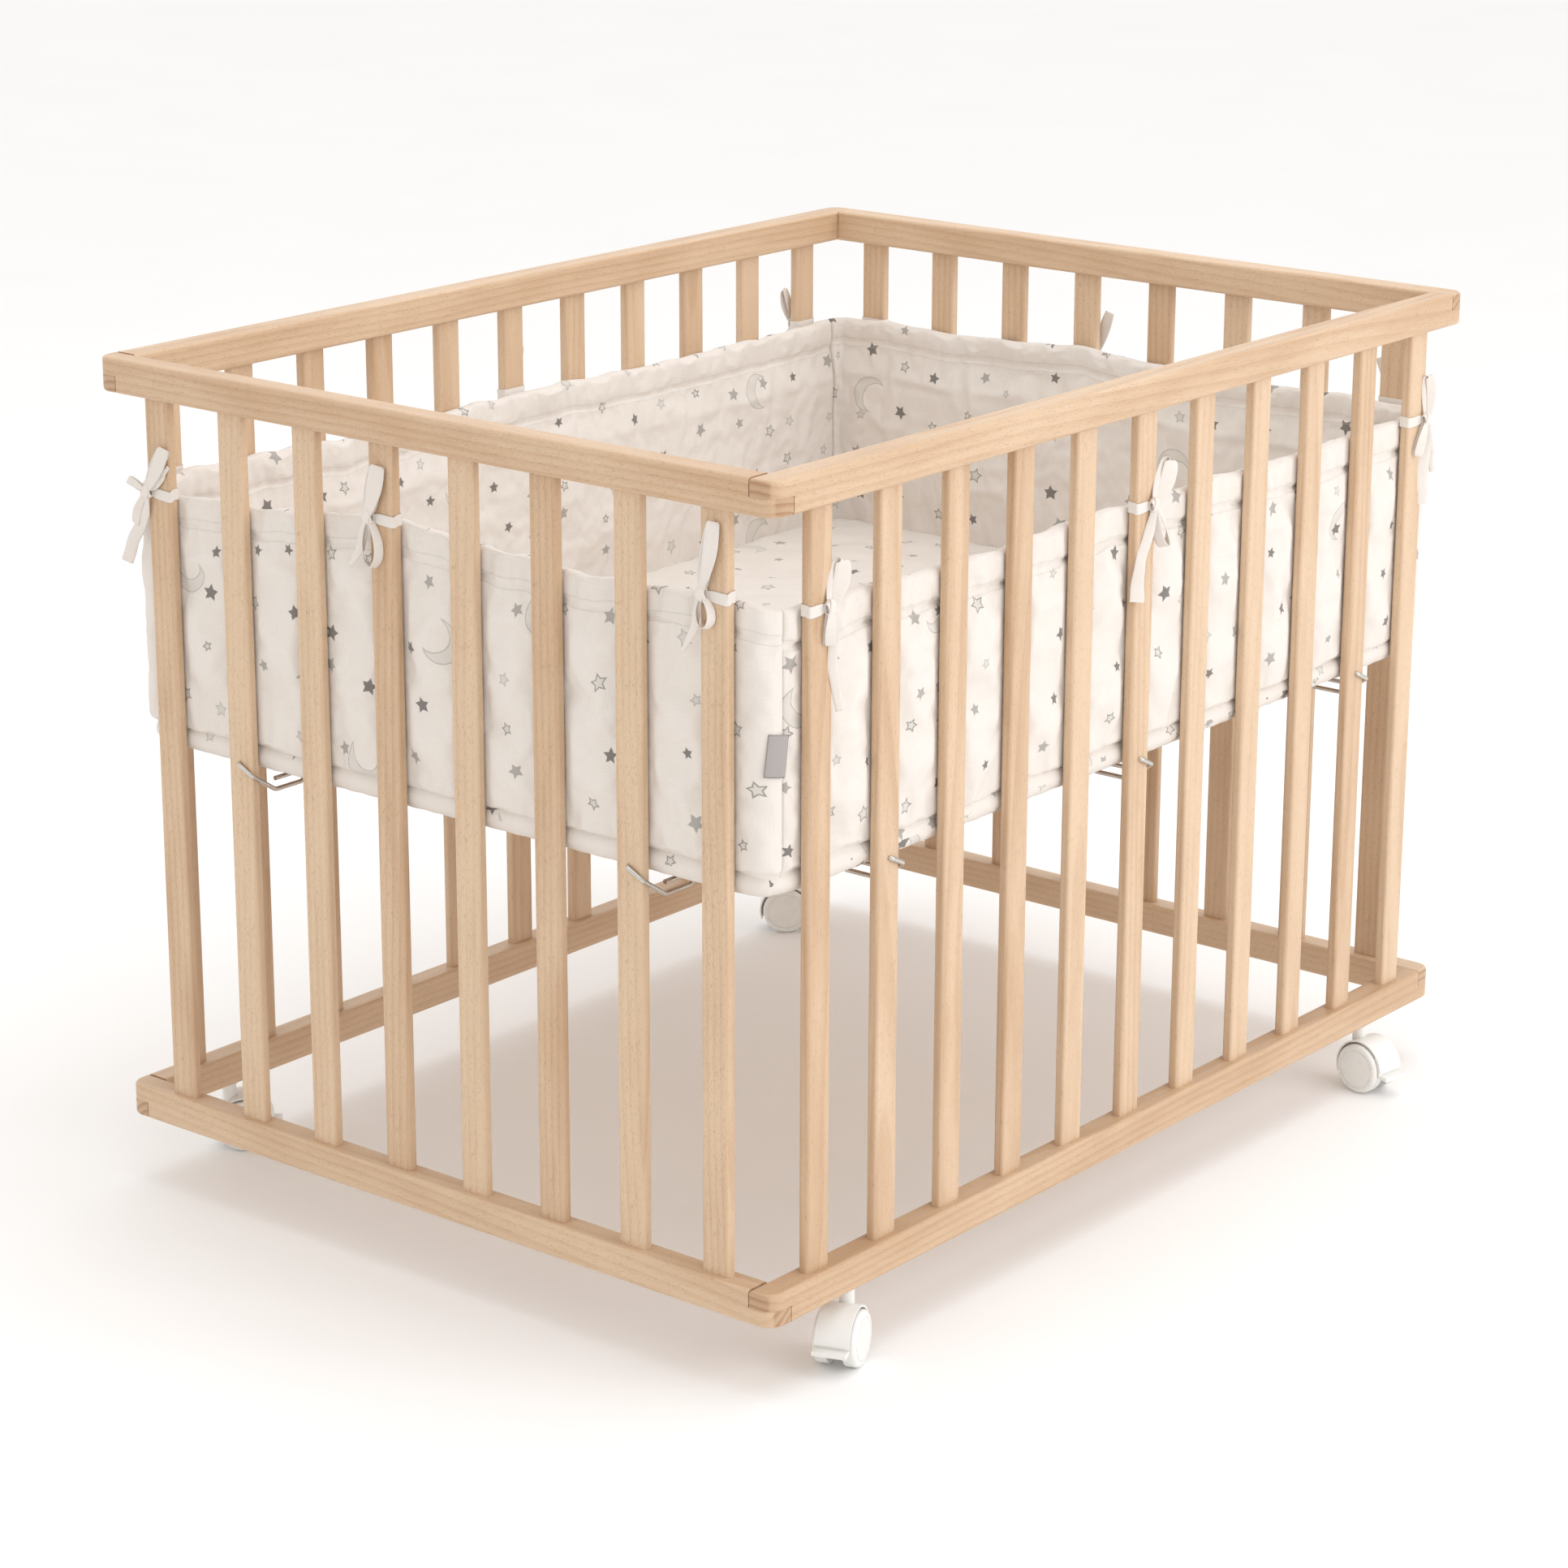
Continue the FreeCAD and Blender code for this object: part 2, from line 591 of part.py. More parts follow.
# ---------------------------------------------------------------------------------------------------
# Floor board and cotton insert
# ---------------------------------------------------------------------------------------------------
def make_floor():
    """The floor board on the hooks, and the floor pad on the board."""
    board = new_body("floor_board")
    inset = (S.rail_thickness + S.board_clearance) * 2
    outline = new_sketch(board, "XY_Plane")
    draw_round_box(outline, 0.0, 0.0, S.frame_length - inset, S.frame_width - inset, S.board_corner_radius)
    pad(board, outline, S.board_thickness)
    place(board, z=BOARD_BOTTOM)
    keep(board, 1)

    cushion = new_body("floor_pad")
    outline = new_sketch(cushion, "XY_Plane")
    draw_round_box(outline, 0.0, 0.0, S.frame_length - CLOTH_INSET * 2, S.frame_width - CLOTH_INSET * 2,
                   S.pad_corner_radius)
    pad(cushion, outline, S.pad_thickness)
    round_edges(cushion, S.pad_edge_radius, lambda e: is_level(e, 0.0, S.pad_thickness.value))
    place(cushion, z=PAD_BOTTOM)
    keep(cushion, 1)


def make_walls():
    """The four padded wall panels; the long ones have the insert's rounded upright corners."""
    cloth_x = S.frame_length - CLOTH_INSET * 2
    cloth_y = S.frame_width - CLOTH_INSET * 2
    for side in SIDES:
        is_long = side.name in ("front", "back")
        across, run = (cloth_y, cloth_x) if is_long else (cloth_x, cloth_y)
        if not is_long:
            run = run - (S.wall_thickness + S.soft_gap) * 2
        body = new_body("insert_wall_%s" % side.name)
        outline = new_sketch(body, "XY_Plane")
        draw_box(outline, -run / 2, run / 2, -across / 2, S.wall_thickness - across / 2)
        pad(body, outline, S.wall_height)
        if is_long:
            reach_x, reach_y = (run / 2).value, (across / 2).value
            round_edges(body, S.wall_corner_radius, lambda e: is_upright_at(e, reach_x, reach_y))
        round_edges(body, S.wall_edge_radius, lambda e: is_level(e, 0.0, S.wall_height.value))
        place(body, z=WALL_BOTTOM, turn=side.turn)
        keep(body, 1)


def make_label():
    """The woven label across the upright corner between the left and the front wall."""
    label = doc.addObject("Part::Box", "insert_label")
    label.Label = "insert_label"
    bind(label, Length=S.label_thickness, Width=S.label_width, Height=S.label_height)
    slope = 0.5 ** 0.5
    off = S.wall_corner_radius * (1.0 - slope) - (S.label_thickness + S.soft_gap) * slope
    x = CLOTH_INSET - S.frame_length / 2 + off + S.label_width * (slope / 2)
    y = CLOTH_INSET - S.frame_width / 2 + off - S.label_width * (slope / 2)
    z = WALL_BOTTOM + S.wall_height - S.label_drop - S.label_height
    place(label, x, y, z, 45.0)
    keep(label, 1)


def make_ties(side):
    """The ties of one side: a tape round the slat, and a bow in front of it."""
    body = new_body("ties_%s" % side.name)
    gap, tape = S.soft_gap, S.tape_thickness
    bands = new_sketch(body, "XY_Plane")
    for number in side.tie_slats:
        x = side.slat_x(number)
        for grow in (gap + tape, gap):
            draw_round_box(bands, x, 0.0, S.slat_width + grow * 2, S.slat_thickness + grow * 2,
                           S.slat_edge_radius + grow)
    pad(body, bands, S.tape_width, both_ways=True)
    bows = new_sketch(body, "XY_Plane", lift=-S.bow_drop)
    face = S.slat_thickness / -2.0 - gap - tape / 2
    for number in side.tie_slats:
        x = side.slat_x(number)
        draw_box(bows, x - S.tape_width / 2, x + S.tape_width / 2, face - S.bow_thickness, face)
    pad(body, bows, S.bow_drop + BOW_RISE)
    keep(side.put(body, TIE_HEIGHT), len(side.tie_slats))


# ---------------------------------------------------------------------------------------------------
# Casters. Pieces about the stem are placed on the stem's axis on the ground; pieces about the wheel
# axis are placed on the wheels' common centre, with +X towards the brake lip.
# ---------------------------------------------------------------------------------------------------
class Caster:
    """One twin-wheel caster: its stem's place and the way it points."""

    def __init__(self, name, x, y, turn):
        self.name = name
        self.x, self.y, self.turn = x, y, turn

    def label(self, piece):
        """Name of one piece of this caster."""
        return "caster_%s_%s" % (self.name, piece)

    def at_stem(self, item, height=0.0):
        """Place a piece that was made about the stem."""
        place(item, self.x, self.y, height, self.turn)
        return item

    def at_axle(self, item, flipped=False):
        """Place a piece that was made about the wheel axis, or the same piece turned end for end."""
        x = self.x + S.trail * self.turn.cos()
        y = self.y + S.trail * self.turn.sin()
        place(item, x, y, S.wheel_radius, self.turn + 180.0 if flipped else self.turn)
        return item


CASTERS = [
    Caster("front_left", -CASTER_X, -CASTER_Y, S.turn_front_left),
    Caster("front_right", CASTER_X, -CASTER_Y, S.turn_front_right),
    Caster("back_left", -CASTER_X, CASTER_Y, S.turn_back_left),
    Caster("back_right", CASTER_X, CASTER_Y, S.turn_back_right),
]
NO_ANGLE = Size(0.0, "0")
FULL_TURN = Size(360.0, "360")


def make_socket(caster):
    """The plastic sleeve pressed into the rail, with a flange under it."""
    body = new_body(caster.label("socket"))
    tube = new_sketch(body, "XY_Plane")
    draw_circle(tube, 0.0, 0.0, SLEEVE_RADIUS)
    pad(body, tube, SLEEVE_LENGTH)
    flange = new_sketch(body, "XY_Plane", lift=-S.flange_thickness)
    draw_circle(flange, 0.0, 0.0, SLEEVE_RADIUS + S.flange_lip)
    pad(body, flange, S.flange_thickness)
    bore = new_sketch(body, "XY_Plane")
    draw_circle(bore, 0.0, 0.0, S.stem_radius + S.turning_fit)
    pocket(body, bore, both_ways=True)
    keep(caster.at_stem(body, S.caster_height), 1)


def make_stem(caster):
    """The steel stem: a pin with a waist that the sleeve's grip snaps into."""
    body = new_body(caster.label("stem"))
    root = S.wheel_radius + S.stem_root
    section = new_sketch(body, "XY_Plane", lift=root)
    draw_circle(section, 0.0, 0.0, S.stem_radius)
    pad(body, section, STEM_TOP - root)
    round_edges(body, S.stem_radius / 4, lambda e: is_level(e, STEM_TOP.value))
    waist = new_sketch(body, "XZ_Plane")
    low = S.caster_height + SLEEVE_LENGTH * 0.7
    draw_box(waist, S.stem_radius * 0.85, S.stem_radius * 1.5, low, low + S.stem_radius / 2)
    before = body.Shape.Volume
    groove = body.newObject("PartDesign::Groove", "waist")
    groove.Profile = waist
    groove.ReferenceAxis = (waist, ["V_Axis"])
    groove.Angle = 360.0
    doc.recompute()
    check_cut(body, before)
    keep(caster.at_stem(body), 1)


def make_housing(caster):
    """The caster body: hood, web with the brake arm's slot, and the boss that holds the stem."""
    body = new_body(caster.label("housing"))
    half_web, half_hood = WEB_WIDTH / 2, S.hood_width / 2
    hood_outer = HOOD_RADIUS + S.hood_wall
    turn_sector(body, S.axle_radius, WEB_HUB_RADIUS, -half_web, half_web, NO_ANGLE, FULL_TURN)
    turn_sector(body, S.axle_radius, HOOD_RADIUS + S.hood_wall / 2, -half_web, half_web,
                S.web_front_angle, S.hood_back_angle)
    turn_sector(body, HOOD_RADIUS, hood_outer, -half_hood, half_hood,
                S.hood_front_angle, S.hood_back_angle)
    boss_top = S.caster_height - S.flange_thickness - S.side_play - S.wheel_radius
    boss = new_sketch(body, "XY_Plane")
    draw_circle(boss, -S.trail, 0.0, BOSS_RADIUS)
    pad(body, boss, boss_top)
    bore = new_sketch(body, "XY_Plane", lift=boss_top)
    draw_circle(bore, -S.trail, 0.0, S.stem_radius + S.turning_fit / 2)
    pocket(body, bore, boss_top - S.stem_root)
    half_slot = S.pedal_arm / 2 + S.slot_play
    turn_sector(body, S.axle_radius, HOOD_RADIUS, -half_slot, half_slot,
                S.slot_front_angle, S.slot_back_angle, cut=True)
    turn_sector(body, S.axle_radius, PEDAL_EYE_RADIUS + S.slot_play, -half_slot, half_slot,
                NO_ANGLE, FULL_TURN, cut=True)
    keep(caster.at_axle(body), 1)


def make_axle(caster):
    """The steel axle of the two wheels."""
    body = new_body(caster.label("axle"))
    section = new_sketch(body, "XZ_Plane")
    draw_circle(section, 0.0, 0.0, S.axle_radius)
    pad(body, section, WHEEL_GAP + (S.wheel_width - S.hub_wall - S.side_play) * 2, both_ways=True)
    keep(caster.at_axle(body), 1)


def make_wheel(caster, name, flipped):
    """A wheel with a blind hub, a rounded rim and a shallow ring on its outer face."""
    body = new_body(caster.label(name))
    near = WHEEL_GAP / 2
    far = near + S.wheel_width
    bore, hub_end = S.axle_radius + S.turning_fit, far - S.hub_wall
    profile = new_sketch(body, "XY_Plane")
    draw_polygon(profile, [(bore, near), (S.wheel_radius, near), (S.wheel_radius, far),
                           (0.0, far), (0.0, hub_end), (bore, hub_end)])
    tread = body.newObject("PartDesign::Revolution", "tread")
    tread.Profile = profile
    tread.ReferenceAxis = (profile, ["V_Axis"])
    tread.Angle = 360.0
    doc.recompute()
    reach = S.wheel_radius.value

    def is_rim(edge, height):
        box = edge.BoundBox
        return box.YLength < 1e-6 and abs(box.YMin - height) < 1e-6 and abs(box.ZMax - reach) < 1e-3

    round_edges(body, S.wheel_rim_radius, lambda e: is_rim(e, far.value))
    round_edges(body, S.wheel_rim_radius / 3, lambda e: is_rim(e, near.value))
    ring = S.wheel_radius - S.wheel_rim_radius * 1.5
    turn_sector(body, ring - S.hub_wall / 2, ring, far - S.hub_wall / 3, far + S.hub_wall,
                NO_ANGLE, FULL_TURN, cut=True)
    keep(caster.at_axle(body, flipped), 1)


def make_pedal(caster):
    """The brake: an eye on the axle, an arm between the wheels, a shell over the treads and a lip."""
    body = new_body(caster.label("brake_pedal"))
    half_arm = S.pedal_arm / 2
    half_shell = S.hood_width / 2 - S.side_play
    eye = S.axle_radius + S.turning_fit
    turn_sector(body, eye, PEDAL_EYE_RADIUS, -half_arm, half_arm, NO_ANGLE, FULL_TURN)
    turn_sector(body, PEDAL_EYE_RADIUS - S.pedal_wall, PEDAL_RADIUS + S.pedal_wall / 2,
                -half_arm, half_arm, S.pedal_front_angle, S.pedal_back_angle)
    turn_sector(body, PEDAL_RADIUS, PEDAL_RADIUS + S.pedal_wall, -half_shell, half_shell,
                S.pedal_front_angle, S.pedal_back_angle)
    turn_sector(body, PEDAL_RADIUS, PEDAL_RADIUS + S.pedal_wall + S.lip_length, -half_shell, half_shell,
                S.lip_under_angle, S.lip_top_angle)
    keep(caster.at_axle(body), 1)


# ---------------------------------------------------------------------------------------------------
# Build, check and write
# ---------------------------------------------------------------------------------------------------
def check_model():
    """Stop on any failed object, empty or invalid shape, or wrong number of solids."""
    doc.recompute()
    for item in doc.Objects:
        if {"Invalid", "Error"} & set(item.State):
            raise RuntimeError("%s failed: %s" % (item.Label, item.State))
    for item, solids in kept:
        shape = item.Shape
        if shape.isNull() or not shape.isValid():
            raise RuntimeError("%s has no valid shape" % item.Label)
        if len(shape.Solids) != solids:
            raise RuntimeError("%s has %d solids, not %d" % (item.Label, len(shape.Solids), solids))


for pen_side in SIDES:
    make_rail(pen_side, is_top=True)
    make_rail(pen_side, is_top=False)
    make_slats(pen_side)
    make_hooks(pen_side)
    make_ties(pen_side)
make_dowels()
make_floor()
make_walls()
make_label()
for corner_caster in CASTERS:
    make_socket(corner_caster)
    make_stem(corner_caster)
    make_housing(corner_caster)
    make_axle(corner_caster)
    make_wheel(corner_caster, "wheel_a", flipped=False)
    make_wheel(corner_caster, "wheel_b", flipped=True)
    make_pedal(corner_caster)
check_model()

os.makedirs("parts", exist_ok=True)
for item, solids in kept:
    item.Shape.exportStep("parts/%s.step" % item.Label)
    print("%-34s %2d solid(s) %10.0f mm3" % (item.Label, solids, item.Shape.Volume))
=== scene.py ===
"""Looks of a beech playpen on swivel casters.

The timber frame, hooks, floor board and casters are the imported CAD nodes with
procedural finishes. The padded cotton insert, its floor pad, the tape bows
and the woven label are surfaces worked out here and stand for their CAD nodes.
"""

import logging
import math
from dataclasses import dataclass, field
from enum import Enum

import bpy
import numpy as np
from mathutils import Matrix, Vector


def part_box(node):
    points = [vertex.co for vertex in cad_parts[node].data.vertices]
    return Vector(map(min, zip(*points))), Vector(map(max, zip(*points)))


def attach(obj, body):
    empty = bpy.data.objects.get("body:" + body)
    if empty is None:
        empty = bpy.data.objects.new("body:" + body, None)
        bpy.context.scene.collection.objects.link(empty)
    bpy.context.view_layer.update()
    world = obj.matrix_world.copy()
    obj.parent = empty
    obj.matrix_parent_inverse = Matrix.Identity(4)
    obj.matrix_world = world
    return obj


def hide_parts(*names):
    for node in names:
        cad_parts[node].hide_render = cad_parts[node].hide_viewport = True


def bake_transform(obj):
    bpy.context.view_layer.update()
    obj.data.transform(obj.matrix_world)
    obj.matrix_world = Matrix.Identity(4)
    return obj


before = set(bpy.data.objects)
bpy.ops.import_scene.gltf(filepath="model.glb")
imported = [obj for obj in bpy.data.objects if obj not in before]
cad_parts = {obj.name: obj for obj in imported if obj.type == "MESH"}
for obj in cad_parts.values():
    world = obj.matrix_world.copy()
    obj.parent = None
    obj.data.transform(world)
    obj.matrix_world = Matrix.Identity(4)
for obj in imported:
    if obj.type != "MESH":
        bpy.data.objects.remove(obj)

Array = np.ndarray
Thing = bpy.types.Object
Finish = bpy.types.Material
Colour = tuple[float, float, float]

log = logging.getLogger("playpen")
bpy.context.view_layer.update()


def frame_centre() -> Array:
    """Middle of the timber frame on the ground, read from the top rails."""
    front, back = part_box("top_rail_front")[0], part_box("top_rail_back")[1]
    left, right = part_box("top_rail_left")[0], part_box("top_rail_right")[1]
    return np.array([(left.x + right.x) / 2, (front.y + back.y) / 2, 0.0])


CENTRE = frame_centre()
PITCH = 0.0885  # from slat to slat
TIE_HEIGHT = 0.6466  # middle of a tape round its slat
BEHIND_SLAT = -0.0178  # furthest out that cloth may come behind a slat, from the rails' outer face


# ---------------------------------------------------------------------------
# Meshes
# ---------------------------------------------------------------------------
def add_mesh(name: str, points: Array, faces: Array | list, flat: Array, shift: Array | None = None) -> Thing:
    """Put a surface into the scene.

    Args:
        name: Name of the piece.
        points: Corner points, one row each.
        faces: Corner numbers of each face.
        flat: Cloth coordinates of each point in metres.
        shift: Optional offset of the cloth coordinates of each face.

    Returns:
        The new object, at the origin.
    """
    mesh = bpy.data.meshes.new(name)
    mesh.from_pydata(points.tolist(), [], faces.tolist() if isinstance(faces, Array) else faces)
    corner = np.zeros(len(mesh.loops), np.int32)
    mesh.loops.foreach_get("vertex_index", corner)
    spread = flat[corner]
    if shift is not None:
        totals = np.zeros(len(mesh.polygons), np.int32)
        mesh.polygons.foreach_get("loop_total", totals)
        spread = spread + np.repeat(shift, totals, axis=0)
    layer = mesh.uv_layers.new(name="flat")
    layer.data.foreach_set("uv", spread.astype(np.float32).ravel())
    mesh.polygons.foreach_set("use_smooth", np.ones(len(mesh.polygons), bool))
    mesh.validate()
    mesh.update()
    piece = bpy.data.objects.new(name, mesh)
    bpy.context.scene.collection.objects.link(piece)
    return piece


def read_points(piece: Thing) -> Array:
    """Corner points of a mesh, one row each."""
    points = np.zeros(len(piece.data.vertices) * 3)
    piece.data.vertices.foreach_get("co", points)
    return points.reshape(-1, 3)


def write_points(piece: Thing, points: Array) -> None:
    """Give a mesh new corner points."""
    piece.data.vertices.foreach_set("co", points.ravel())
    piece.data.update()


def subdivide(piece: Thing) -> None:
    """Apply one smooth subdivision to a piece."""
    modifier = piece.modifiers.new("smooth", "SUBSURF")
    modifier.levels = modifier.render_levels = 1
    modifier.quality = 2
    bake = bpy.data.meshes.new_from_object(piece.evaluated_get(bpy.context.evaluated_depsgraph_get()))
    piece.modifiers.clear()
    bake.name = piece.data.name
    piece.data = bake


def step(low: float, high: float, x: Array) -> Array:
    """Smooth step from 0 at low to 1 at high: 3t² - 2t³."""
    t = np.clip((x - low) / (high - low), 0.0, 1.0)
    return t * t * (3.0 - 2.0 * t)


def quarter_round(part: Array) -> Array:
    """Height of a quarter circle over its own width: the root of 1 - (1 - part)²."""
    return np.sqrt(np.clip(1 - (1 - part) ** 2, 0, 1))


def ripples(a: Array, b: Array, length: float, seed: int, stretch: float = 1.0) -> Array:
    """Gentle random relief: the mean of 14 plane waves of about one wave length.

    Args:
        a: First coordinate in metres.
        b: Second coordinate in metres.
        length: Typical wave length in metres.
        seed: Number that settles the waves.
        stretch: How much longer the waves run in the second coordinate.

    Returns:
        Heights between about -1 and 1.
    """
    dice, count = np.random.default_rng(seed), 14
    total = np.zeros(np.broadcast(a, b).shape)
    draws = [dice.uniform(low, high, count) for low, high in ((0, 2 * np.pi), (0.7, 1.5), (0, 2 * np.pi))]
    for turn, size, phase in zip(*draws):
        k = 2 * np.pi / (length * size)
        total += np.cos(k * (np.cos(turn) * a + np.sin(turn) * b / stretch) + phase)
    return total / math.sqrt(count)


def quads(grid: Array) -> Array:
    """Squares between neighbouring points of a grid of point numbers."""
    return np.stack([grid[:-1, :-1], grid[1:, :-1], grid[1:, 1:], grid[:-1, 1:]], -1).reshape(-1, 4)


def both(front: Array, back: Array) -> Array:
    """Values of a pillow's points: the whole first grid, then the inside of the second one."""
    width = front.shape[2:]
    return np.concatenate([front.reshape(-1, *width), back[1:-1, 1:-1].reshape(-1, *width)])


def add_pillow(
    name: str, front: Array, back: Array, cloth: Array, offset: tuple[float, float], flip: bool = False
) -> Thing:
    """Sew two grids together along their whole border. The second one uses the first one's border points.

    Args:
        name: Name of the piece.
        front: Points of the first grid.
        back: Points of the second grid.
        cloth: Cloth coordinates of each of the pillow's points.
        offset: How far the second grid's cloth is moved, so that its print differs.
        flip: True where the first grid would face inwards.

    Returns:
        The new object.
    """
    rows, columns = front.shape[:2]
    first = np.arange(rows * columns).reshape(rows, columns)
    second = first.copy()
    second[1:-1, 1:-1] = rows * columns + np.arange((rows - 2) * (columns - 2)).reshape(rows - 2, columns - 2)
    faces = np.concatenate([quads(first), quads(second)[:, ::-1]])
    moved = np.arange(len(faces))[:, None] >= len(faces) // 2
    faces = faces[:, ::-1] if flip else faces
    return add_mesh(name, both(front, back), faces, cloth, np.where(moved, np.array([offset]), 0.0))


def spread_lines(reach: float, edge: float, spacing: float, turns: int) -> Array:
    """Grid lines from -reach to reach, closer where a half-round edge starts."""
    roll = edge * (1.0 - np.cos(np.linspace(0.0, np.pi / 2, turns + 1)))
    count = max(2, int(round(2 * (reach - edge) / spacing)))
    middle = np.linspace(-reach + edge, reach - edge, count + 1)
    return np.concatenate([-reach + roll[:-1], middle, (reach - roll[:-1])[::-1]])


class Softener:
    """Blender's cloth, used to let a padded piece fill out and wrinkle."""

    frames = 14

    def __init__(self, pressure: float, spare: float, cap: float) -> None:
        """Note how hard the filling pushes, how much spare cloth there is, and how far a point may move."""
        self.pressure, self.spare, self.cap = pressure, spare, cap

    def settle(self, piece: Thing, held: Array) -> Array:
        """Run the cloth once.

        Args:
            piece: Closed padded piece.
            held: Pin weight of each point, from 0 free to 1 held.

        Returns:
            The capped movement of each point.
        """
        rest = read_points(piece)
        group = piece.vertex_groups.new(name="held")
        for level in np.unique(np.round(held, 2)):
            members = np.nonzero(np.round(held, 2) == level)[0]
            if level > 0:
                group.add(members.tolist(), float(level), "REPLACE")
        modifier = piece.modifiers.new("cloth", "CLOTH")
        cloth = modifier.settings
        cloth.quality = 4
        cloth.mass = 0.12
        cloth.tension_stiffness = cloth.compression_stiffness = 14
        cloth.shear_stiffness = 6
        cloth.bending_stiffness = 0.25
        cloth.shrink_min = -self.spare
        cloth.use_pressure = True
        cloth.uniform_pressure_force = self.pressure
        cloth.vertex_group_mass = "held"
        cloth.pin_stiffness = 1.0
        cloth.effector_weights.gravity = 0.0
        modifier.collision_settings.use_collision = False
        modifier.point_cache.frame_start, modifier.point_cache.frame_end = 1, self.frames
        scene = bpy.context.scene
        for number in range(1, self.frames + 1):
            scene.frame_set(number)
        settled = np.zeros(len(rest) * 3)
        shown = piece.evaluated_get(bpy.context.evaluated_depsgraph_get())
        shown.data.vertices.foreach_get("co", settled)
        piece.modifiers.remove(modifier)
        piece.vertex_groups.clear()
        scene.frame_set(1)
        move = settled.reshape(-1, 3) - rest
        far = np.linalg.norm(move, axis=1, keepdims=True)
        move = np.nan_to_num(move)
        return move * (self.cap * np.tanh(far / self.cap) / np.maximum(far, 1e-9))


# ---------------------------------------------------------------------------
# Material nodes
# ---------------------------------------------------------------------------
class Term:
    """A node output that can be used in sums."""

    def __init__(self, graph: "Graph", socket: bpy.types.NodeSocket) -> None:
        """Keep the output and the graph it belongs to."""
        self.graph, self.socket = graph, socket

    def __add__(self, other: "Term | float") -> "Term":
        """Sum."""
        return self.graph.math("ADD", self, other)

    def __sub__(self, other: "Term | float") -> "Term":
        """Difference."""
        return self.graph.math("SUBTRACT", self, other)

    def __rsub__(self, other: float) -> "Term":
        """Difference from a number."""
        return self.graph.math("SUBTRACT", other, self)

    def __mul__(self, other: "Term | float") -> "Term":
        """Product."""
        return self.graph.math("MULTIPLY", self, other)

    def __truediv__(self, other: "Term | float") -> "Term":
        """Quotient."""
        return self.graph.math("DIVIDE", self, other)

    def floor(self) -> "Term":
        """Whole part."""
        return self.graph.math("FLOOR", self)

    def fract(self) -> "Term":
        """Part after the whole number."""
        return self.graph.math("FRACT", self)

    def abs(self) -> "Term":
        """Size without its sign."""
        return self.graph.math("ABSOLUTE", self)

    def rise(self, low: float, high: float) -> "Term":
        """Smooth step from 0 at low to 1 at high."""
        return self.graph.ramp(self, low, high)

    def fall(self, low: float, high: float) -> "Term":
        """Smooth step from 1 at low to 0 at high."""
        return self.graph.ramp(self, low, high, 1.0, 0.0)

    def between(self, low: float, high: float) -> "Term":
        """1 from low to high, and 0 elsewhere."""
        return self.graph.math("GREATER_THAN", self, low) * self.graph.math("LESS_THAN", self, high)


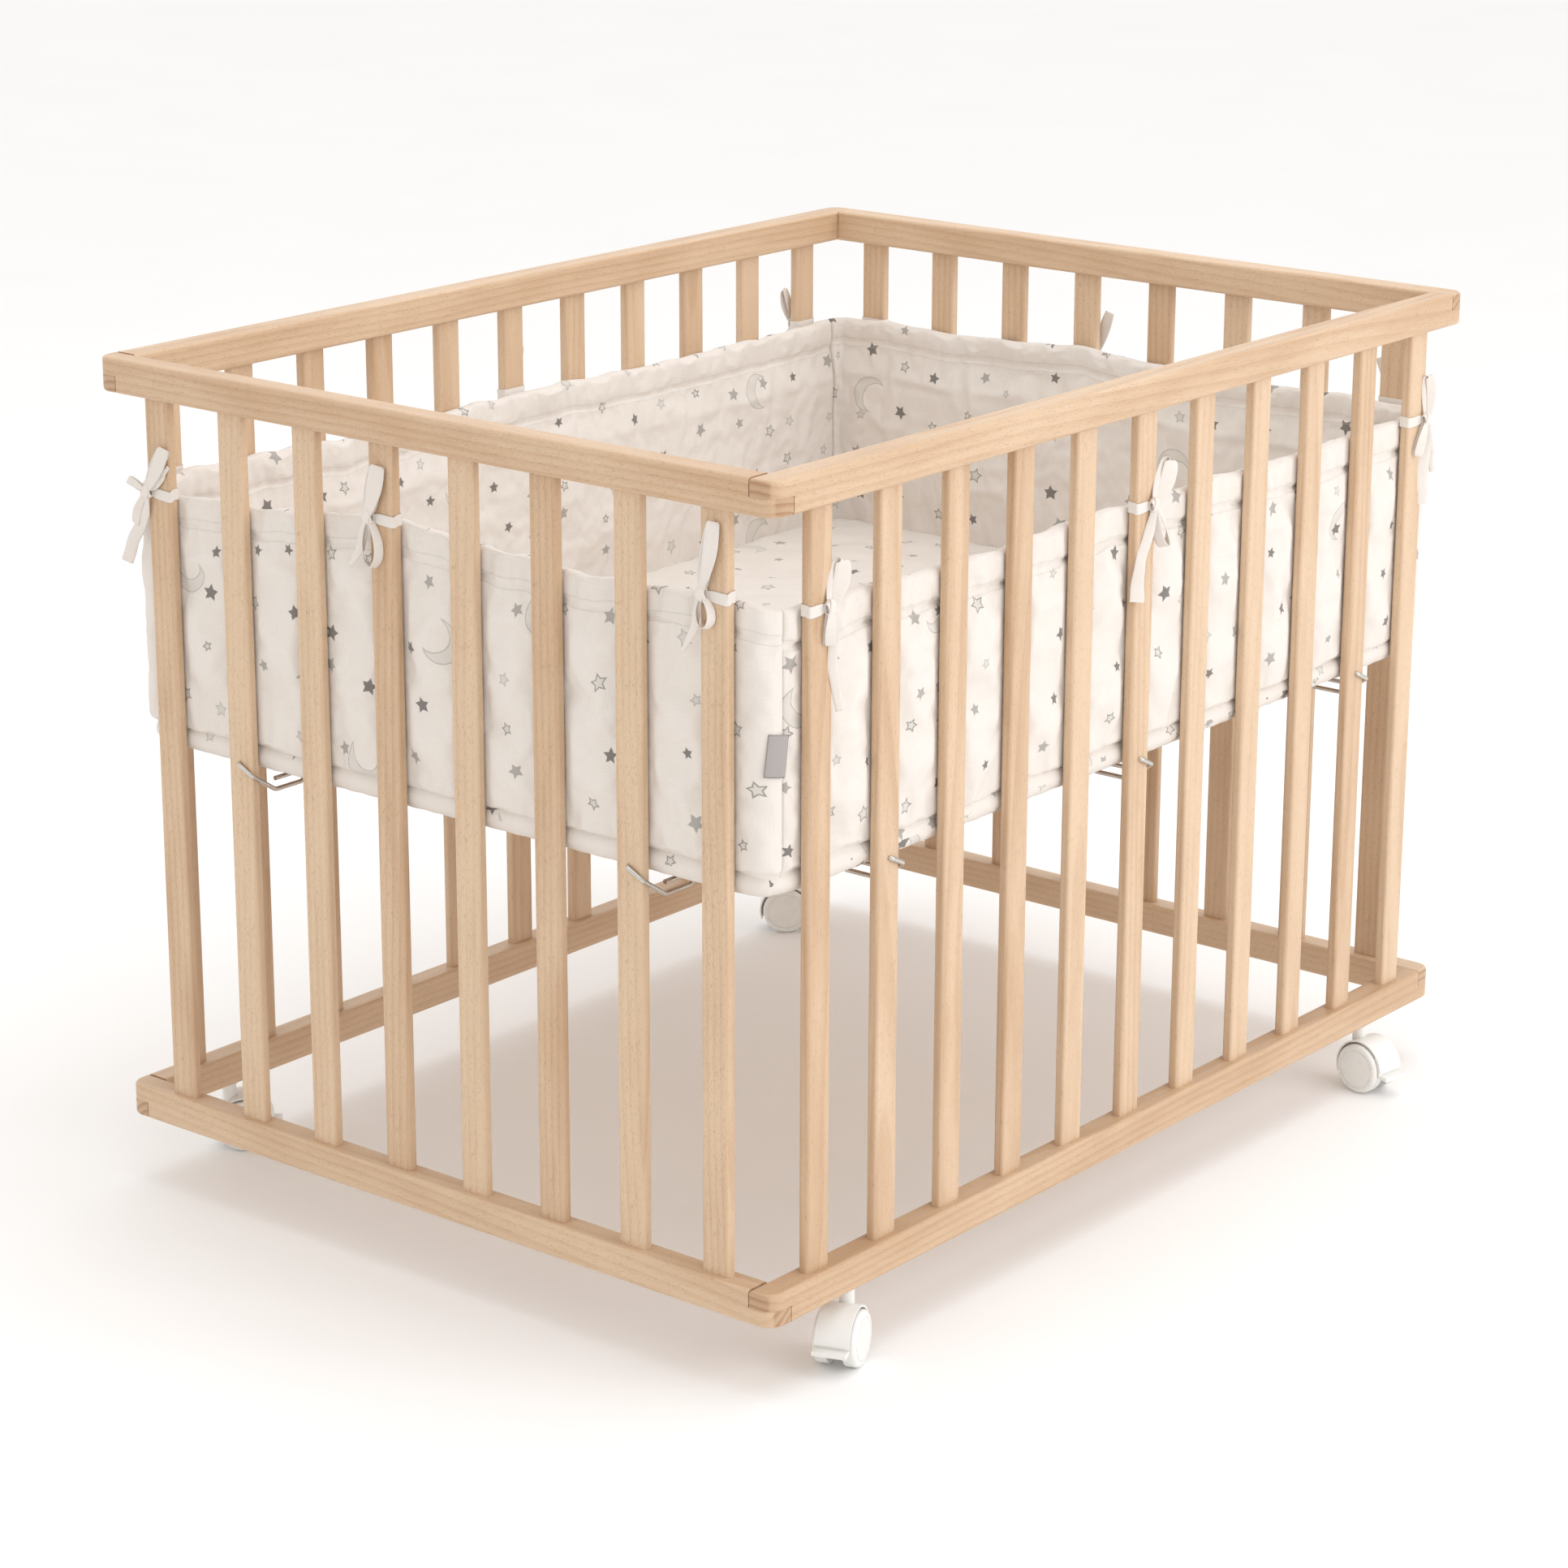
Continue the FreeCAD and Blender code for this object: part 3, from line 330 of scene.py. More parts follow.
class Graph:
    """One material's nodes."""

    def __init__(self, name: str) -> None:
        """Start a material with a Principled shader."""
        self.material = bpy.data.materials.new(name)
        self.material.use_nodes = True
        self.tree = self.material.node_tree
        self.tree.nodes.clear()
        self.shader = self.node("ShaderNodeBsdfPrincipled")
        end = self.node("ShaderNodeOutputMaterial")
        self.tree.links.new(self.shader.outputs[0], end.inputs["Surface"])

    def node(self, kind: str, **settings: object) -> bpy.types.Node:
        """Add a node with these settings."""
        made = self.tree.nodes.new(kind)
        for name, value in settings.items():
            setattr(made, name, value)
        return made

    def feed(self, socket: bpy.types.NodeSocket, value: "Term | float | tuple") -> None:
        """Link a term to an input, or set its value."""
        if isinstance(value, Term):
            self.tree.links.new(value.socket, socket)
        else:
            socket.default_value = value

    def math(self, operation: str, *values: "Term | float") -> Term:
        """One math node."""
        made = self.node("ShaderNodeMath", operation=operation)
        for socket, value in zip(made.inputs, values):
            self.feed(socket, value)
        return Term(self, made.outputs[0])

    def ramp(self, value: Term, low: float, high: float, start: float = 0.0, end: float = 1.0) -> Term:
        """Smooth change from start at low to end at high."""
        made = self.node("ShaderNodeMapRange", interpolation_type="SMOOTHSTEP")
        ends = ("Value", value), ("From Min", low), ("From Max", high), ("To Min", start), ("To Max", end)
        for name, number in ends:
            self.feed(made.inputs[name], number)
        return Term(self, made.outputs["Result"])

    def place(self, source: str = "Object") -> tuple[Term, Term, Term]:
        """Three coordinates of a point: Object, or Normal for the surface's direction."""
        point = self.node("ShaderNodeTexCoord")
        split = self.node("ShaderNodeSeparateXYZ")
        self.tree.links.new(point.outputs[source], split.inputs[0])
        return tuple(Term(self, output) for output in split.outputs)

    def cloth(self) -> tuple[Term, Term]:
        """Cloth coordinates in metres, along and across."""
        point = self.node("ShaderNodeUVMap", uv_map="flat")
        split = self.node("ShaderNodeSeparateXYZ")
        self.tree.links.new(point.outputs[0], split.inputs[0])
        return Term(self, split.outputs[0]), Term(self, split.outputs[1])

    def point(self, x: "Term | float", y: "Term | float", z: "Term | float" = 0.0) -> Term:
        """Join three numbers to a point."""
        made = self.node("ShaderNodeCombineXYZ")
        for socket, value in zip(made.inputs, (x, y, z)):
            self.feed(socket, value)
        return Term(self, made.outputs[0])

    def noise(self, x: "Term | float", y: "Term | float", z: "Term | float" = 0.0, detail: float = 2.0) -> Term:
        """Soft noise between 0 and 1, one lump to a unit."""
        made = self.node("ShaderNodeTexNoise")
        self.feed(made.inputs["Vector"], self.point(x, y, z))
        made.inputs["Scale"].default_value = 1.0
        made.inputs["Detail"].default_value = detail
        return Term(self, made.outputs["Fac"])

    def dice(self, x: "Term | float", y: "Term | float", seed: float) -> tuple[Term, Term, Term]:
        """Three random numbers for a cell."""
        made = self.node("ShaderNodeTexWhiteNoise", noise_dimensions="3D")
        self.feed(made.inputs["Vector"], self.point(x, y, seed))
        split = self.node("ShaderNodeSeparateColor")
        self.tree.links.new(made.outputs["Color"], split.inputs[0])
        return tuple(Term(self, output) for output in split.outputs)

    def scatter(self, along: Term, across: Term, wide: float, high: float, seed: float) -> tuple[Term, ...]:
        """One spot in each cell of a grid, moved at random by up to a quarter of the cell.

        Args:
            along: Cloth coordinate in metres.
            across: Cloth coordinate in metres.
            wide: Width of a cell.
            high: Height of a cell.
            seed: Number that settles the spots.

        Returns:
            Both distances from the cell's spot, a random number, and the cell's column and line.
        """
        column, line = (along / wide).floor(), (across / high).floor()
        shift_a, shift_b, spare = self.dice(column, line, seed)
        x = (along / wide - column - 0.5 - (shift_a - 0.5) * 0.5) * wide
        y = (across / high - line - 0.5 - (shift_b - 0.5) * 0.5) * high
        return x, y, spare, column, line

    def mix(self, share: "Term | float", first: "Term | tuple", second: "Term | tuple") -> Term:
        """Blend two colours."""
        made = self.node("ShaderNodeMix", data_type="RGBA")
        self.feed(made.inputs[0], share)
        self.feed(made.inputs[6], first)
        self.feed(made.inputs[7], second)
        return Term(self, made.outputs[2])

    def relief(self, height: Term, depth: float) -> None:
        """Raise the surface by height times depth, in metres."""
        made = self.node("ShaderNodeBump")
        made.inputs["Strength"].default_value = 1.0
        made.inputs["Distance"].default_value = depth
        self.feed(made.inputs["Height"], height)
        self.tree.links.new(made.outputs[0], self.shader.inputs["Normal"])

    def set(self, **values: "Term | float | tuple") -> None:
        """Set shader inputs; an underscore stands for a space."""
        for name, value in values.items():
            self.feed(self.shader.inputs[name.replace("_", " ")], value)


def ink(colour: Colour, change: float = 0.0) -> tuple[float, float, float, float]:
    """A display colour from 0 to 255 as scene light, each part changed by the same amount first."""
    parts = [(part + change) / 255.0 for part in colour]
    light = [part / 12.92 if part <= 0.04045 else ((part + 0.055) / 1.055) ** 2.4 for part in parts]
    return (*light, 1.0)


class Grain(Enum):
    """Which way the wood's fibres run."""

    ALONG = 0
    ACROSS = 1
    UPRIGHT = 2


@dataclass(frozen=True)
class Beech:
    """Satin-lacquered beech: growth rings, short dark flecks and fine fibres."""

    name: str
    grain: Grain
    centre: tuple[float, float, float]
    seed: float
    pitch: float = 0.0
    row: int = 0
    phase: float = 0.0
    pale: Colour = (217, 189, 158)
    deep: Colour = (186, 148, 112)
    fleck: Colour = (158, 114, 80)
    end: Colour = (160, 116, 80)

    def build(self) -> Finish:
        """Rings are distances from a tilted pith axis; each slat has its own axis.

        Returns:
            The material.
        """
        g = Graph(self.name)
        sides = [term - middle for term, middle in zip(g.place(), self.centre)]
        along = sides[self.grain.value]
        across = [side for number, side in enumerate(sides) if number != self.grain.value]
        number: Term | float = 0.0
        if self.pitch:
            spot = sides[self.row] / self.pitch + self.phase
            number = spot.floor()
            local = (spot - number - 0.5) * self.pitch
            across = [local if other is sides[self.row] else other for other in across]
        first, second, third = g.dice(number, self.seed, 2.0)
        fourth, fifth, _ = g.dice(number, self.seed, 5.0)
        sway = g.noise(along * 2.2, number, self.seed, 1.0) - 0.5
        reach = across[0] - (first - 0.5) * 0.06 + along * ((second - 0.5) * 0.10) + sway * 0.012
        depth = across[1] + third * 0.035 + 0.022 + along * ((fourth - 0.5) * 0.05)
        radius = g.math("SQRT", reach * reach + depth * depth)
        ring = (radius / 0.0068 + sway * 3.0 + fifth * 7.0).fract()
        late = ring.rise(0.30, 0.90) * ring.fall(0.91, 1.0)
        fibre = g.noise(along * 26.0, across[0] * 1500.0, across[1] * 1500.0)
        fleck = g.noise(along * 300.0, across[0] * 1700.0, across[1] * 1700.0, 1.0).rise(0.655, 0.71)
        cloud = g.noise(along * 7.0, across[0] * 40.0 + number, across[1] * 40.0)
        shade = late * 0.17 + (fibre - 0.5) * 0.34 + (cloud - 0.5) * 0.75 + (fifth - 0.5) * 0.34 + 0.30
        body = g.mix(g.ramp(shade, 0.0, 1.0), ink(self.pale), ink(self.deep))
        body = g.mix(fleck * 0.40, body, ink(self.fleck))
        end = g.place("Normal")[self.grain.value].abs().rise(0.72, 0.86)
        body = g.mix(end * (late * 0.40 + 0.35), body, ink(self.end))
        roughness = (fibre - 0.5) * 0.16 + 0.44
        g.set(Base_Color=body, Roughness=roughness, Coat_Weight=0.12, Coat_Roughness=0.35, Specular_IOR_Level=0.45)
        g.relief(fibre * 0.5 - fleck * 0.6 - late * 0.15, 0.00018)
        return g.material


@dataclass(frozen=True)
class Cotton:
    """Off-white cotton with a print of stars in three greys and pale crescent moons."""

    name: str
    cell: float = 0.0490
    seams: tuple[float, ...] = ()
    cloth: Colour = (231, 223, 215)
    dark: Colour = (112, 106, 102)
    middle: Colour = (163, 158, 152)
    light: Colour = (206, 201, 193)

    def star(self, g: Graph, along: Term, across: Term) -> tuple[Term, Term]:
        """A five-pointed star in each cell of a jittered grid.

        The angle folds into a tenth of a turn, and the edge is the straight line from a tip to the notch beside it.

        Args:
            g: The material's nodes.
            along: Cloth coordinate in metres.
            across: Cloth coordinate in metres.

        Returns:
            Signed distance to the star's edge, and a random number for its kind.
        """
        x, y, scale, column, line = g.scatter(along, across, self.cell, self.cell, 1.0)
        turn, kind, _ = g.dice(column, line, 7.0)
        size = scale * 0.0034 + 0.0052
        fifth, lean = math.radians(72), math.radians(62.5)
        angle = g.math("ARCTAN2", y, x) + turn * 6.283 + fifth / 2 + 20 * fifth
        folded = (angle - (angle / fifth).floor() * fifth - fifth / 2).abs()
        distance = g.math("SQRT", x * x + y * y)
        return distance * g.math("COSINE", folded - lean) - size * math.cos(lean), kind

    def moon(self, g: Graph, along: Term, across: Term) -> Term:
        """Signed distance to a crescent in each large cell: inside one circle and outside another."""
        x, y, turn, _, _ = g.scatter(along, across, 0.205, 0.165, 11.0)
        angle = turn * 6.283
        hollow_x, hollow_y = x - g.math("COSINE", angle) * 0.0095, y - g.math("SINE", angle) * 0.0095
        outer = g.math("SQRT", x * x + y * y) - 0.0190
        inner = 0.0158 - g.math("SQRT", hollow_x * hollow_x + hollow_y * hollow_y)
        return g.math("MAXIMUM", outer, inner)

    def build(self) -> Finish:
        """The print over slubby threads, with a row of stitches and a line of painted shade at each seam height.

        Returns:
            The material.
        """
        g = Graph(self.name)
        along, across = g.cloth()
        shaky = [(g.noise(along * 330.0, across * 330.0, level) - 0.5) * 0.0011 for level in (3.0, 9.0)]
        spot = along + shaky[0], across + shaky[1]
        warp = g.noise(along * 1900.0, across * 70.0, 1.0)
        weft = g.noise(along * 70.0, across * 1900.0, 2.0)
        thread = (warp + weft) * 0.5
        edge, kind = self.star(g, *spot)
        solid = edge.fall(-0.0004, 0.0004)
        line = (edge + 0.0006).abs().fall(0.0003, 0.0008)
        crescent = self.moon(g, *spot)
        cloth = g.mix((thread - 0.5).rise(-0.25, 0.3), ink(self.cloth, -9), ink(self.cloth))
        for share, colour in (
            (crescent.fall(-0.0004, 0.0004) * 0.55, ink(self.light)),
            ((crescent + 0.0005).abs().fall(0.0003, 0.0008) * 0.5, ink(self.middle)),
            (solid * kind.between(-0.1, 0.34) * 0.92, ink(self.dark)),
            (solid * kind.between(0.34, 0.54) * 0.9, ink(self.middle)),
            (solid * kind.between(0.54, 1.1) * 0.75, ink(self.light)),
            (line * kind.between(0.54, 0.70) * 0.5, ink(self.middle)),
            (line * kind.between(0.70, 1.1) * 0.8, ink(self.middle, -24)),
        ):
            cloth = g.mix(share, cloth, colour)
        height = thread
        for seam in self.seams:
            near = (across - seam).abs().fall(0.0003, 0.0007)
            stitch = near * (along / 0.0034).fract().between(0.2, 0.8)
            height = height + stitch * 1.6 - near * 0.9
            # Painted shade: the cloth is darkened towards light grey along each seam's groove.
            cloth = g.mix(near * 0.30, cloth, ink(self.light))
        roughness = (thread - 0.5) * 0.1 + 0.88
        g.set(Base_Color=cloth, Roughness=roughness, Sheen_Weight=0.15, Sheen_Roughness=0.5, Specular_IOR_Level=0.25)
        g.relief(height, 0.00022)
        return g.material


@dataclass(frozen=True)
class Moulded:
    """White moulded plastic with faint clouding and a fine skin."""

    name: str
    colour: Colour
    roughness: float
    coat: float = 0.0

    def build(self) -> Finish:
        """Colour with slight clouding, painted shade towards the floor, and fine moulding texture.

        Returns:
            The material.
        """
        g = Graph(self.name)
        x, y, z = g.place()
        cloud = g.noise(x * 60.0, y * 60.0, z * 60.0)
        skin = g.noise(x * 2600.0, y * 2600.0, z * 2600.0)
        # Painted shade: the plastic darkens towards the floor, within 3 cm of the ground, in soft blotches.
        floor_shade = z.fall(0.004, 0.03) * g.noise(x * 420.0, y * 420.0, z * 420.0)
        body = g.mix(cloud, ink(self.colour, -6), ink(self.colour))
        body = g.mix(floor_shade * 0.08, body, ink((186, 178, 166)))
        roughness = (cloud - 0.5) * 0.12 + self.roughness
        g.set(Base_Color=body, Roughness=roughness, Coat_Weight=self.coat, Coat_Roughness=0.2, IOR=1.49)
        g.relief(skin, 0.000012)
        return g.material


@dataclass(frozen=True)
class Plated:
    """Bright zinc-plated steel with faint drawing lines."""

    name: str
    colour: Colour
    roughness: float

    def build(self) -> Finish:
        """Metal with cloudy plating and fine lines.

        Returns:
            The material.
        """
        g = Graph(self.name)
        x, y, z = g.place()
        cloud = g.noise(x * 180.0, y * 180.0, z * 180.0)
        lines = g.noise(x * 1800.0, y * 1800.0, z * 260.0)
        body = g.mix(cloud, ink(self.colour, -22), ink(self.colour))
        g.set(Base_Color=body, Metallic=1.0, Roughness=(cloud - 0.5) * 0.16 + self.roughness)
        g.relief(lines, 0.00002)
        return g.material


@dataclass(frozen=True)
class Woven:
    """Blank grey woven label with fine cross ribs."""

    name: str
    colour: Colour = (172, 165, 161)

    def build(self) -> Finish:
        """Ribs across the label and slubby threads.

        Returns:
            The material.
        """
        g = Graph(self.name)
        along, across = g.cloth()
        rib = g.math("SINE", across * (2 * math.pi / 0.0006)) * 0.5 + 0.5
        slub = g.noise(along * 900.0, across * 2600.0, 4.0)
        body = g.mix(slub * 0.5 + rib * 0.3, ink(self.colour, -22), ink(self.colour, 14))
        g.set(Base_Color=body, Roughness=(slub - 0.5) * 0.15 + 0.72, Sheen_Weight=0.2)
        g.relief(rib * 0.6 + slub, 0.00012)
        return g.material


# ---------------------------------------------------------------------------
# The pen's sides
# ---------------------------------------------------------------------------
@dataclass(frozen=True)
class Side:
    """One side of the pen, measured to the right as seen from outside, up, and outwards from the rails' outer face."""

    name: str
    turn: float
    half: float
    depth: float
    slats: int
    tied: tuple[int, ...]

    def slat_places(self) -> Array:
        """Middle of each slat, from left to right."""
        return (np.arange(self.slats) - (self.slats - 1) / 2) * PITCH

    def from_slat(self, right: Array) -> Array:
        """Distance to the middle of the nearest slat."""
        return np.min(np.abs(right[..., None] - self.slat_places()), axis=-1)

    def sew(self, piece: Thing) -> None:
        """Bake a piece of the insert's placement into its mesh."""
        x, y, _ = self.to_pen(np.array(0.0), np.array(0.0), np.array(-0.02))
        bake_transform(piece)

    def to_pen(self, right: Array, up: Array, out: Array) -> Array:
        """Turn the side's own measures into points of the pen."""
        angle = math.radians(self.turn)
        ahead = out + self.depth
        x = CENTRE[0] + right * math.cos(angle) + ahead * math.sin(angle)
        y = CENTRE[1] + right * math.sin(angle) - ahead * math.cos(angle)
        return np.stack(np.broadcast_arrays(x, y, up), -1)

    def from_pen(self, points: Array) -> tuple[Array, Array]:
        """Right and out measures of points of the pen."""
        angle = math.radians(self.turn)
        x, y = points[..., 0] - CENTRE[0], points[..., 1] - CENTRE[1]
        return x * math.cos(angle) + y * math.sin(angle), x * math.sin(angle) - y * math.cos(angle) - self.depth


SIDES = (
    Side("front", 0.0, 0.510, 0.375, 11, (1, 6, 11)),
    Side("right", 90.0, 0.375, 0.510, 8, (1, 5, 8)),
    Side("back", 180.0, 0.510, 0.375, 11, (1, 6, 11)),
    Side("left", 270.0, 0.375, 0.510, 8, (1, 4, 8)),
)


@dataclass
class InsertWall:
    """A padded wall of the insert: two cloths sewn together at the rim, filled, with a band along the top."""

    side: Side
    top: tuple[tuple[float, float], ...]
    seed: int
    bulge: float
    band_puff: float
    inset: float = 0.0184
    thickness: float = 0.010
    corner: float = 0.020
    bottom: float = 0.4352
    tall: float = 0.2194
    band: float = 0.030
    groove: float = 0.0034
    wrap: float = 0.0
    spacing: float = 0.0046
    label_at: tuple[float, float, float] | None = None
    bend: float = field(init=False)
    straight: float = field(init=False)
    span: float = field(init=False)

    def __post_init__(self) -> None:
        """Length of the middle line from the side's centre to the corner seam."""
        self.bend = self.corner - self.thickness / 2
        self.straight = self.side.half - self.inset - self.corner
        self.span = self.straight + self.bend * self.wrap

    def rows(self) -> Array:
        """Heights of the grid's rows as shares of the wall, closer together at the rim and at the band's seam."""
        tall = self.tall
        seam = tall - self.band
        low = np.array([0.0, 0.0011, 0.003, 0.0056, 0.009])
        body = np.linspace(0.0135, seam - 0.0095, 30)
        fold = seam + np.array([-0.0062, -0.0036, -0.0016, 0.0, 0.0016, 0.0036, 0.0062])
        above = np.linspace(seam + 0.0095, tall - 0.0092, 4)
        high = tall - np.array([0.0062, 0.0036, 0.0017, 0.0005, 0.0])
        return np.concatenate([low, body, fold, above, high]) / tall

    def height(self, along: Array, share: Array) -> Array:
        """Height of a point: straight up between the bottom seam and a top edge that follows its own soft line."""
        places, tops = zip(*self.top)
        knots = np.linspace(-self.span, self.span, 400)
        line = np.interp(knots, places, tops)
        soft = np.convolve(np.pad(line, 14, "edge"), np.hanning(29) / np.hanning(29).sum(), "valid")
        top = np.interp(along, knots, soft) + 0.0012 * ripples(along, 0 * along, 0.055, self.seed + 5)
        top = top + (0.649 - top) * step(self.span - 0.02, self.span, np.abs(along))
        from_end = self.span - np.abs(along)
        sag = 0.0014 * ripples(along, 0 * along, 0.16, self.seed + 6) * (1 - share) * step(0.0, 0.05, from_end)
        return self.bottom + sag + (top - self.bottom) * share

    def gap_push(self, along: Array) -> Array:
        """How far the pad swells out between the slats: a soft mound over each gap, nothing behind a slat."""
        places, slat_edge = self.side.slat_places(), 0.0148
        strength = np.random.default_rng(self.seed).uniform(0.62, 1.0, len(places) + 1)
        reach = np.clip((self.side.from_slat(along) - slat_edge) / (PITCH / 2 - slat_edge), 0.0, 1.0)
        far = np.abs(along)
        past = np.clip((far - places[-1] - slat_edge) / 0.012, 0, 1)
        corner = 0.30 * past * (2 - past) * (1 - step(0.02, 0.0, self.span - far))
        mound = strength[np.searchsorted(places, along)] * quarter_round(reach) ** 1.25
        return np.where(far > places[-1], corner, mound)

    def rim(self, along: Array, share: Array, outer: bool) -> Array:
        """Share of the full thickness near the rim: a quarter-round towards each seam, tighter inside the corners."""
        from_end = np.clip((self.span - np.abs(along)) / (0.010 if outer else 0.0035), 0, 1)
        from_low = np.clip(share * self.tall / 0.0075, 0, 1)
        from_top = np.clip((1 - share) * self.tall / 0.0062, 0, 1)
        return quarter_round(from_end) * quarter_round(from_low) * quarter_round(from_top)

    def limit(self, right: Array, up: Array) -> Array:
        """Furthest out that cloth may come: just inside the slats, and further in behind a tape."""
        nearest = self.side.from_slat(right)
        tied = self.side.slat_places()[np.array(self.side.tied) - 1]
        taped = (np.min(np.abs(right[..., None] - tied), axis=-1) < 0.017) & (np.abs(up - TIE_HEIGHT) < 0.008)
        open_limit = BEHIND_SLAT + 0.0098 * step(0.0150, 0.029, nearest)
        return np.where(taped, BEHIND_SLAT - 0.0005, np.where(nearest < 0.0152, BEHIND_SLAT, open_limit))

    def surface(self, along: Array, share: Array, outer: bool) -> Array:
        """Points of one cloth of the wall.

        The middle line runs straight, and on a short wall turns a quarter of a circle at each end. A cloth lies
        half the thickness from it, plus the swelling between slats (outer) or into the pen (inner), the relief
        of the wadding, and puckers that fade away from the seams. The inner cloth reaches down into the floor pad.

        Args:
            along: Distance along the middle line.
            share: Share of the height.
            outer: True for the outer cloth.

        Returns:
            Points of the pen.
        """
        up = self.height(along, share)
        turn = np.clip((np.abs(along) - self.straight) / self.bend, 0, self.wrap) * np.sign(along)
        straight = np.clip(along, -self.straight, self.straight)
        seam = 1 - self.band / self.tall
        from_seam = (share - seam) * self.tall
        fold = np.exp(-((from_seam / 0.0034) ** 2)) * self.groove / 0.0030
        body = step(0.02, 0.30, share) * step(seam, seam - 0.16, share)
        band = step(seam, seam + 0.05, share)
        rim = self.rim(along, share, outer)
        layer = 1 if outer else 2
        relief = ripples(along, up, 0.075, self.seed + 10 * layer) * 0.0011
        relief = relief + ripples(along, up, 0.033, self.seed + 20 * layer, stretch=2.2) * 0.0007
        warped = along + 0.004 * ripples(along, up, 0.06, self.seed + 3)
        pucker = np.cos(2 * np.pi * warped / 0.0165 + 2 * ripples(along, 0 * up, 0.09, self.seed + 4))
        near_seam = np.exp(-np.abs(from_seam) / 0.011) + 0.8 * np.exp(-share * self.tall / 0.010)
        near_seam = near_seam + 0.6 * np.exp(-(1 - share) * self.tall / 0.007)
        if outer:
            push = self.bulge * self.gap_push(along) * (0.25 + 0.75 * body) * (1 - 0.75 * band) + self.band_puff * band
            relief = relief * np.clip(self.gap_push(along) + 0.25, 0, 1)
        else:
            push = 0.0045 * body + 0.0020 * band
            fold, near_seam = 0.35 * fold, 0.5 * near_seam
            up = up - 0.0085 * step(0.12, 0.0, share)
        reach = self.thickness / 2 * rim + (push + relief + 0.0006 * pucker * near_seam - 0.0030 * fold) * rim
        arm = self.bend + (reach if outer else -reach)
        right = straight + arm * np.sin(turn)
        out = arm * np.cos(turn) - (self.inset + self.corner)
        if outer:
            out = np.where(np.abs(along) < self.straight + 0.004, np.minimum(out, self.limit(right, up)), out)
        return self.side.to_pen(right, up, out)

    def build(self, cotton: Finish) -> Thing:
        """Make the wall, let it fill out, and dress it.

        Args:
            cotton: The printed cotton.

        Returns:
            The wall.
        """
        along, share = np.meshgrid(spread_lines(self.span, 0.010, self.spacing, 5), self.rows(), indexing="ij")
        lengths, shares = both(along, along), both(share, share)
        flat = np.stack([lengths + self.seed * 0.711, self.bottom + shares * self.tall], -1)
        cloths = [self.surface(along, share, outer) for outer in (True, False)]
        piece = add_pillow(f"padded_wall_{self.side.name}", *cloths, flat, (0.371, 0.0))
        self.fill_out(piece, lengths, shares, np.arange(len(lengths)) >= along.size)
        subdivide(piece)
        piece.data.materials.append(cotton)
        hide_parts(f"insert_wall_{self.side.name}")
        self.side.sew(piece)
        log.info("wall %s: %d points", self.side.name, len(piece.data.vertices))
        return piece

    def fill_out(self, piece: Thing, lengths: Array, shares: Array, is_inner: Array) -> None:
        """Let the wadding push the cloth, which is held at the slats, the seams and the label."""
        from_end = self.span - np.abs(lengths)
        seam = 1 - self.band / self.tall
        held = np.where(~is_inner & (self.side.from_slat(lengths) < 0.0145), 0.85, np.where(is_inner, 0.30, 0.0))
        held = np.maximum(held, np.where(np.abs(shares - seam) * self.tall < 0.0020, 0.95, 0.0))
        held = np.maximum(held, np.where(is_inner, np.clip(1.0 - from_end / 0.045, 0, 1), 0.0))
        held = np.maximum(held, np.where((shares < 0.004) | (shares > 0.996) | (from_end < 0.003), 1.0, 0.0))
        if self.label_at:
            middle, low, high = self.label_at
            up = self.bottom + shares * self.tall
            held = np.where(~is_inner & (np.abs(lengths - middle) < 0.016) & (up > low) & (up < high), 1.0, held)
        move = Softener(pressure=0.9, spare=0.038, cap=0.0042).settle(piece, held)
        points = read_points(piece) + move
        right, out = self.side.from_pen(points)
        free = is_inner | (np.abs(lengths) > self.straight + 0.004)
        capped = np.where(free, out, np.minimum(out, self.limit(right, points[:, 2])))
        angle = math.radians(self.side.turn)
        points[:, 0] += (capped - out) * math.sin(angle)
        points[:, 1] -= (capped - out) * math.cos(angle)
        write_points(piece, points)


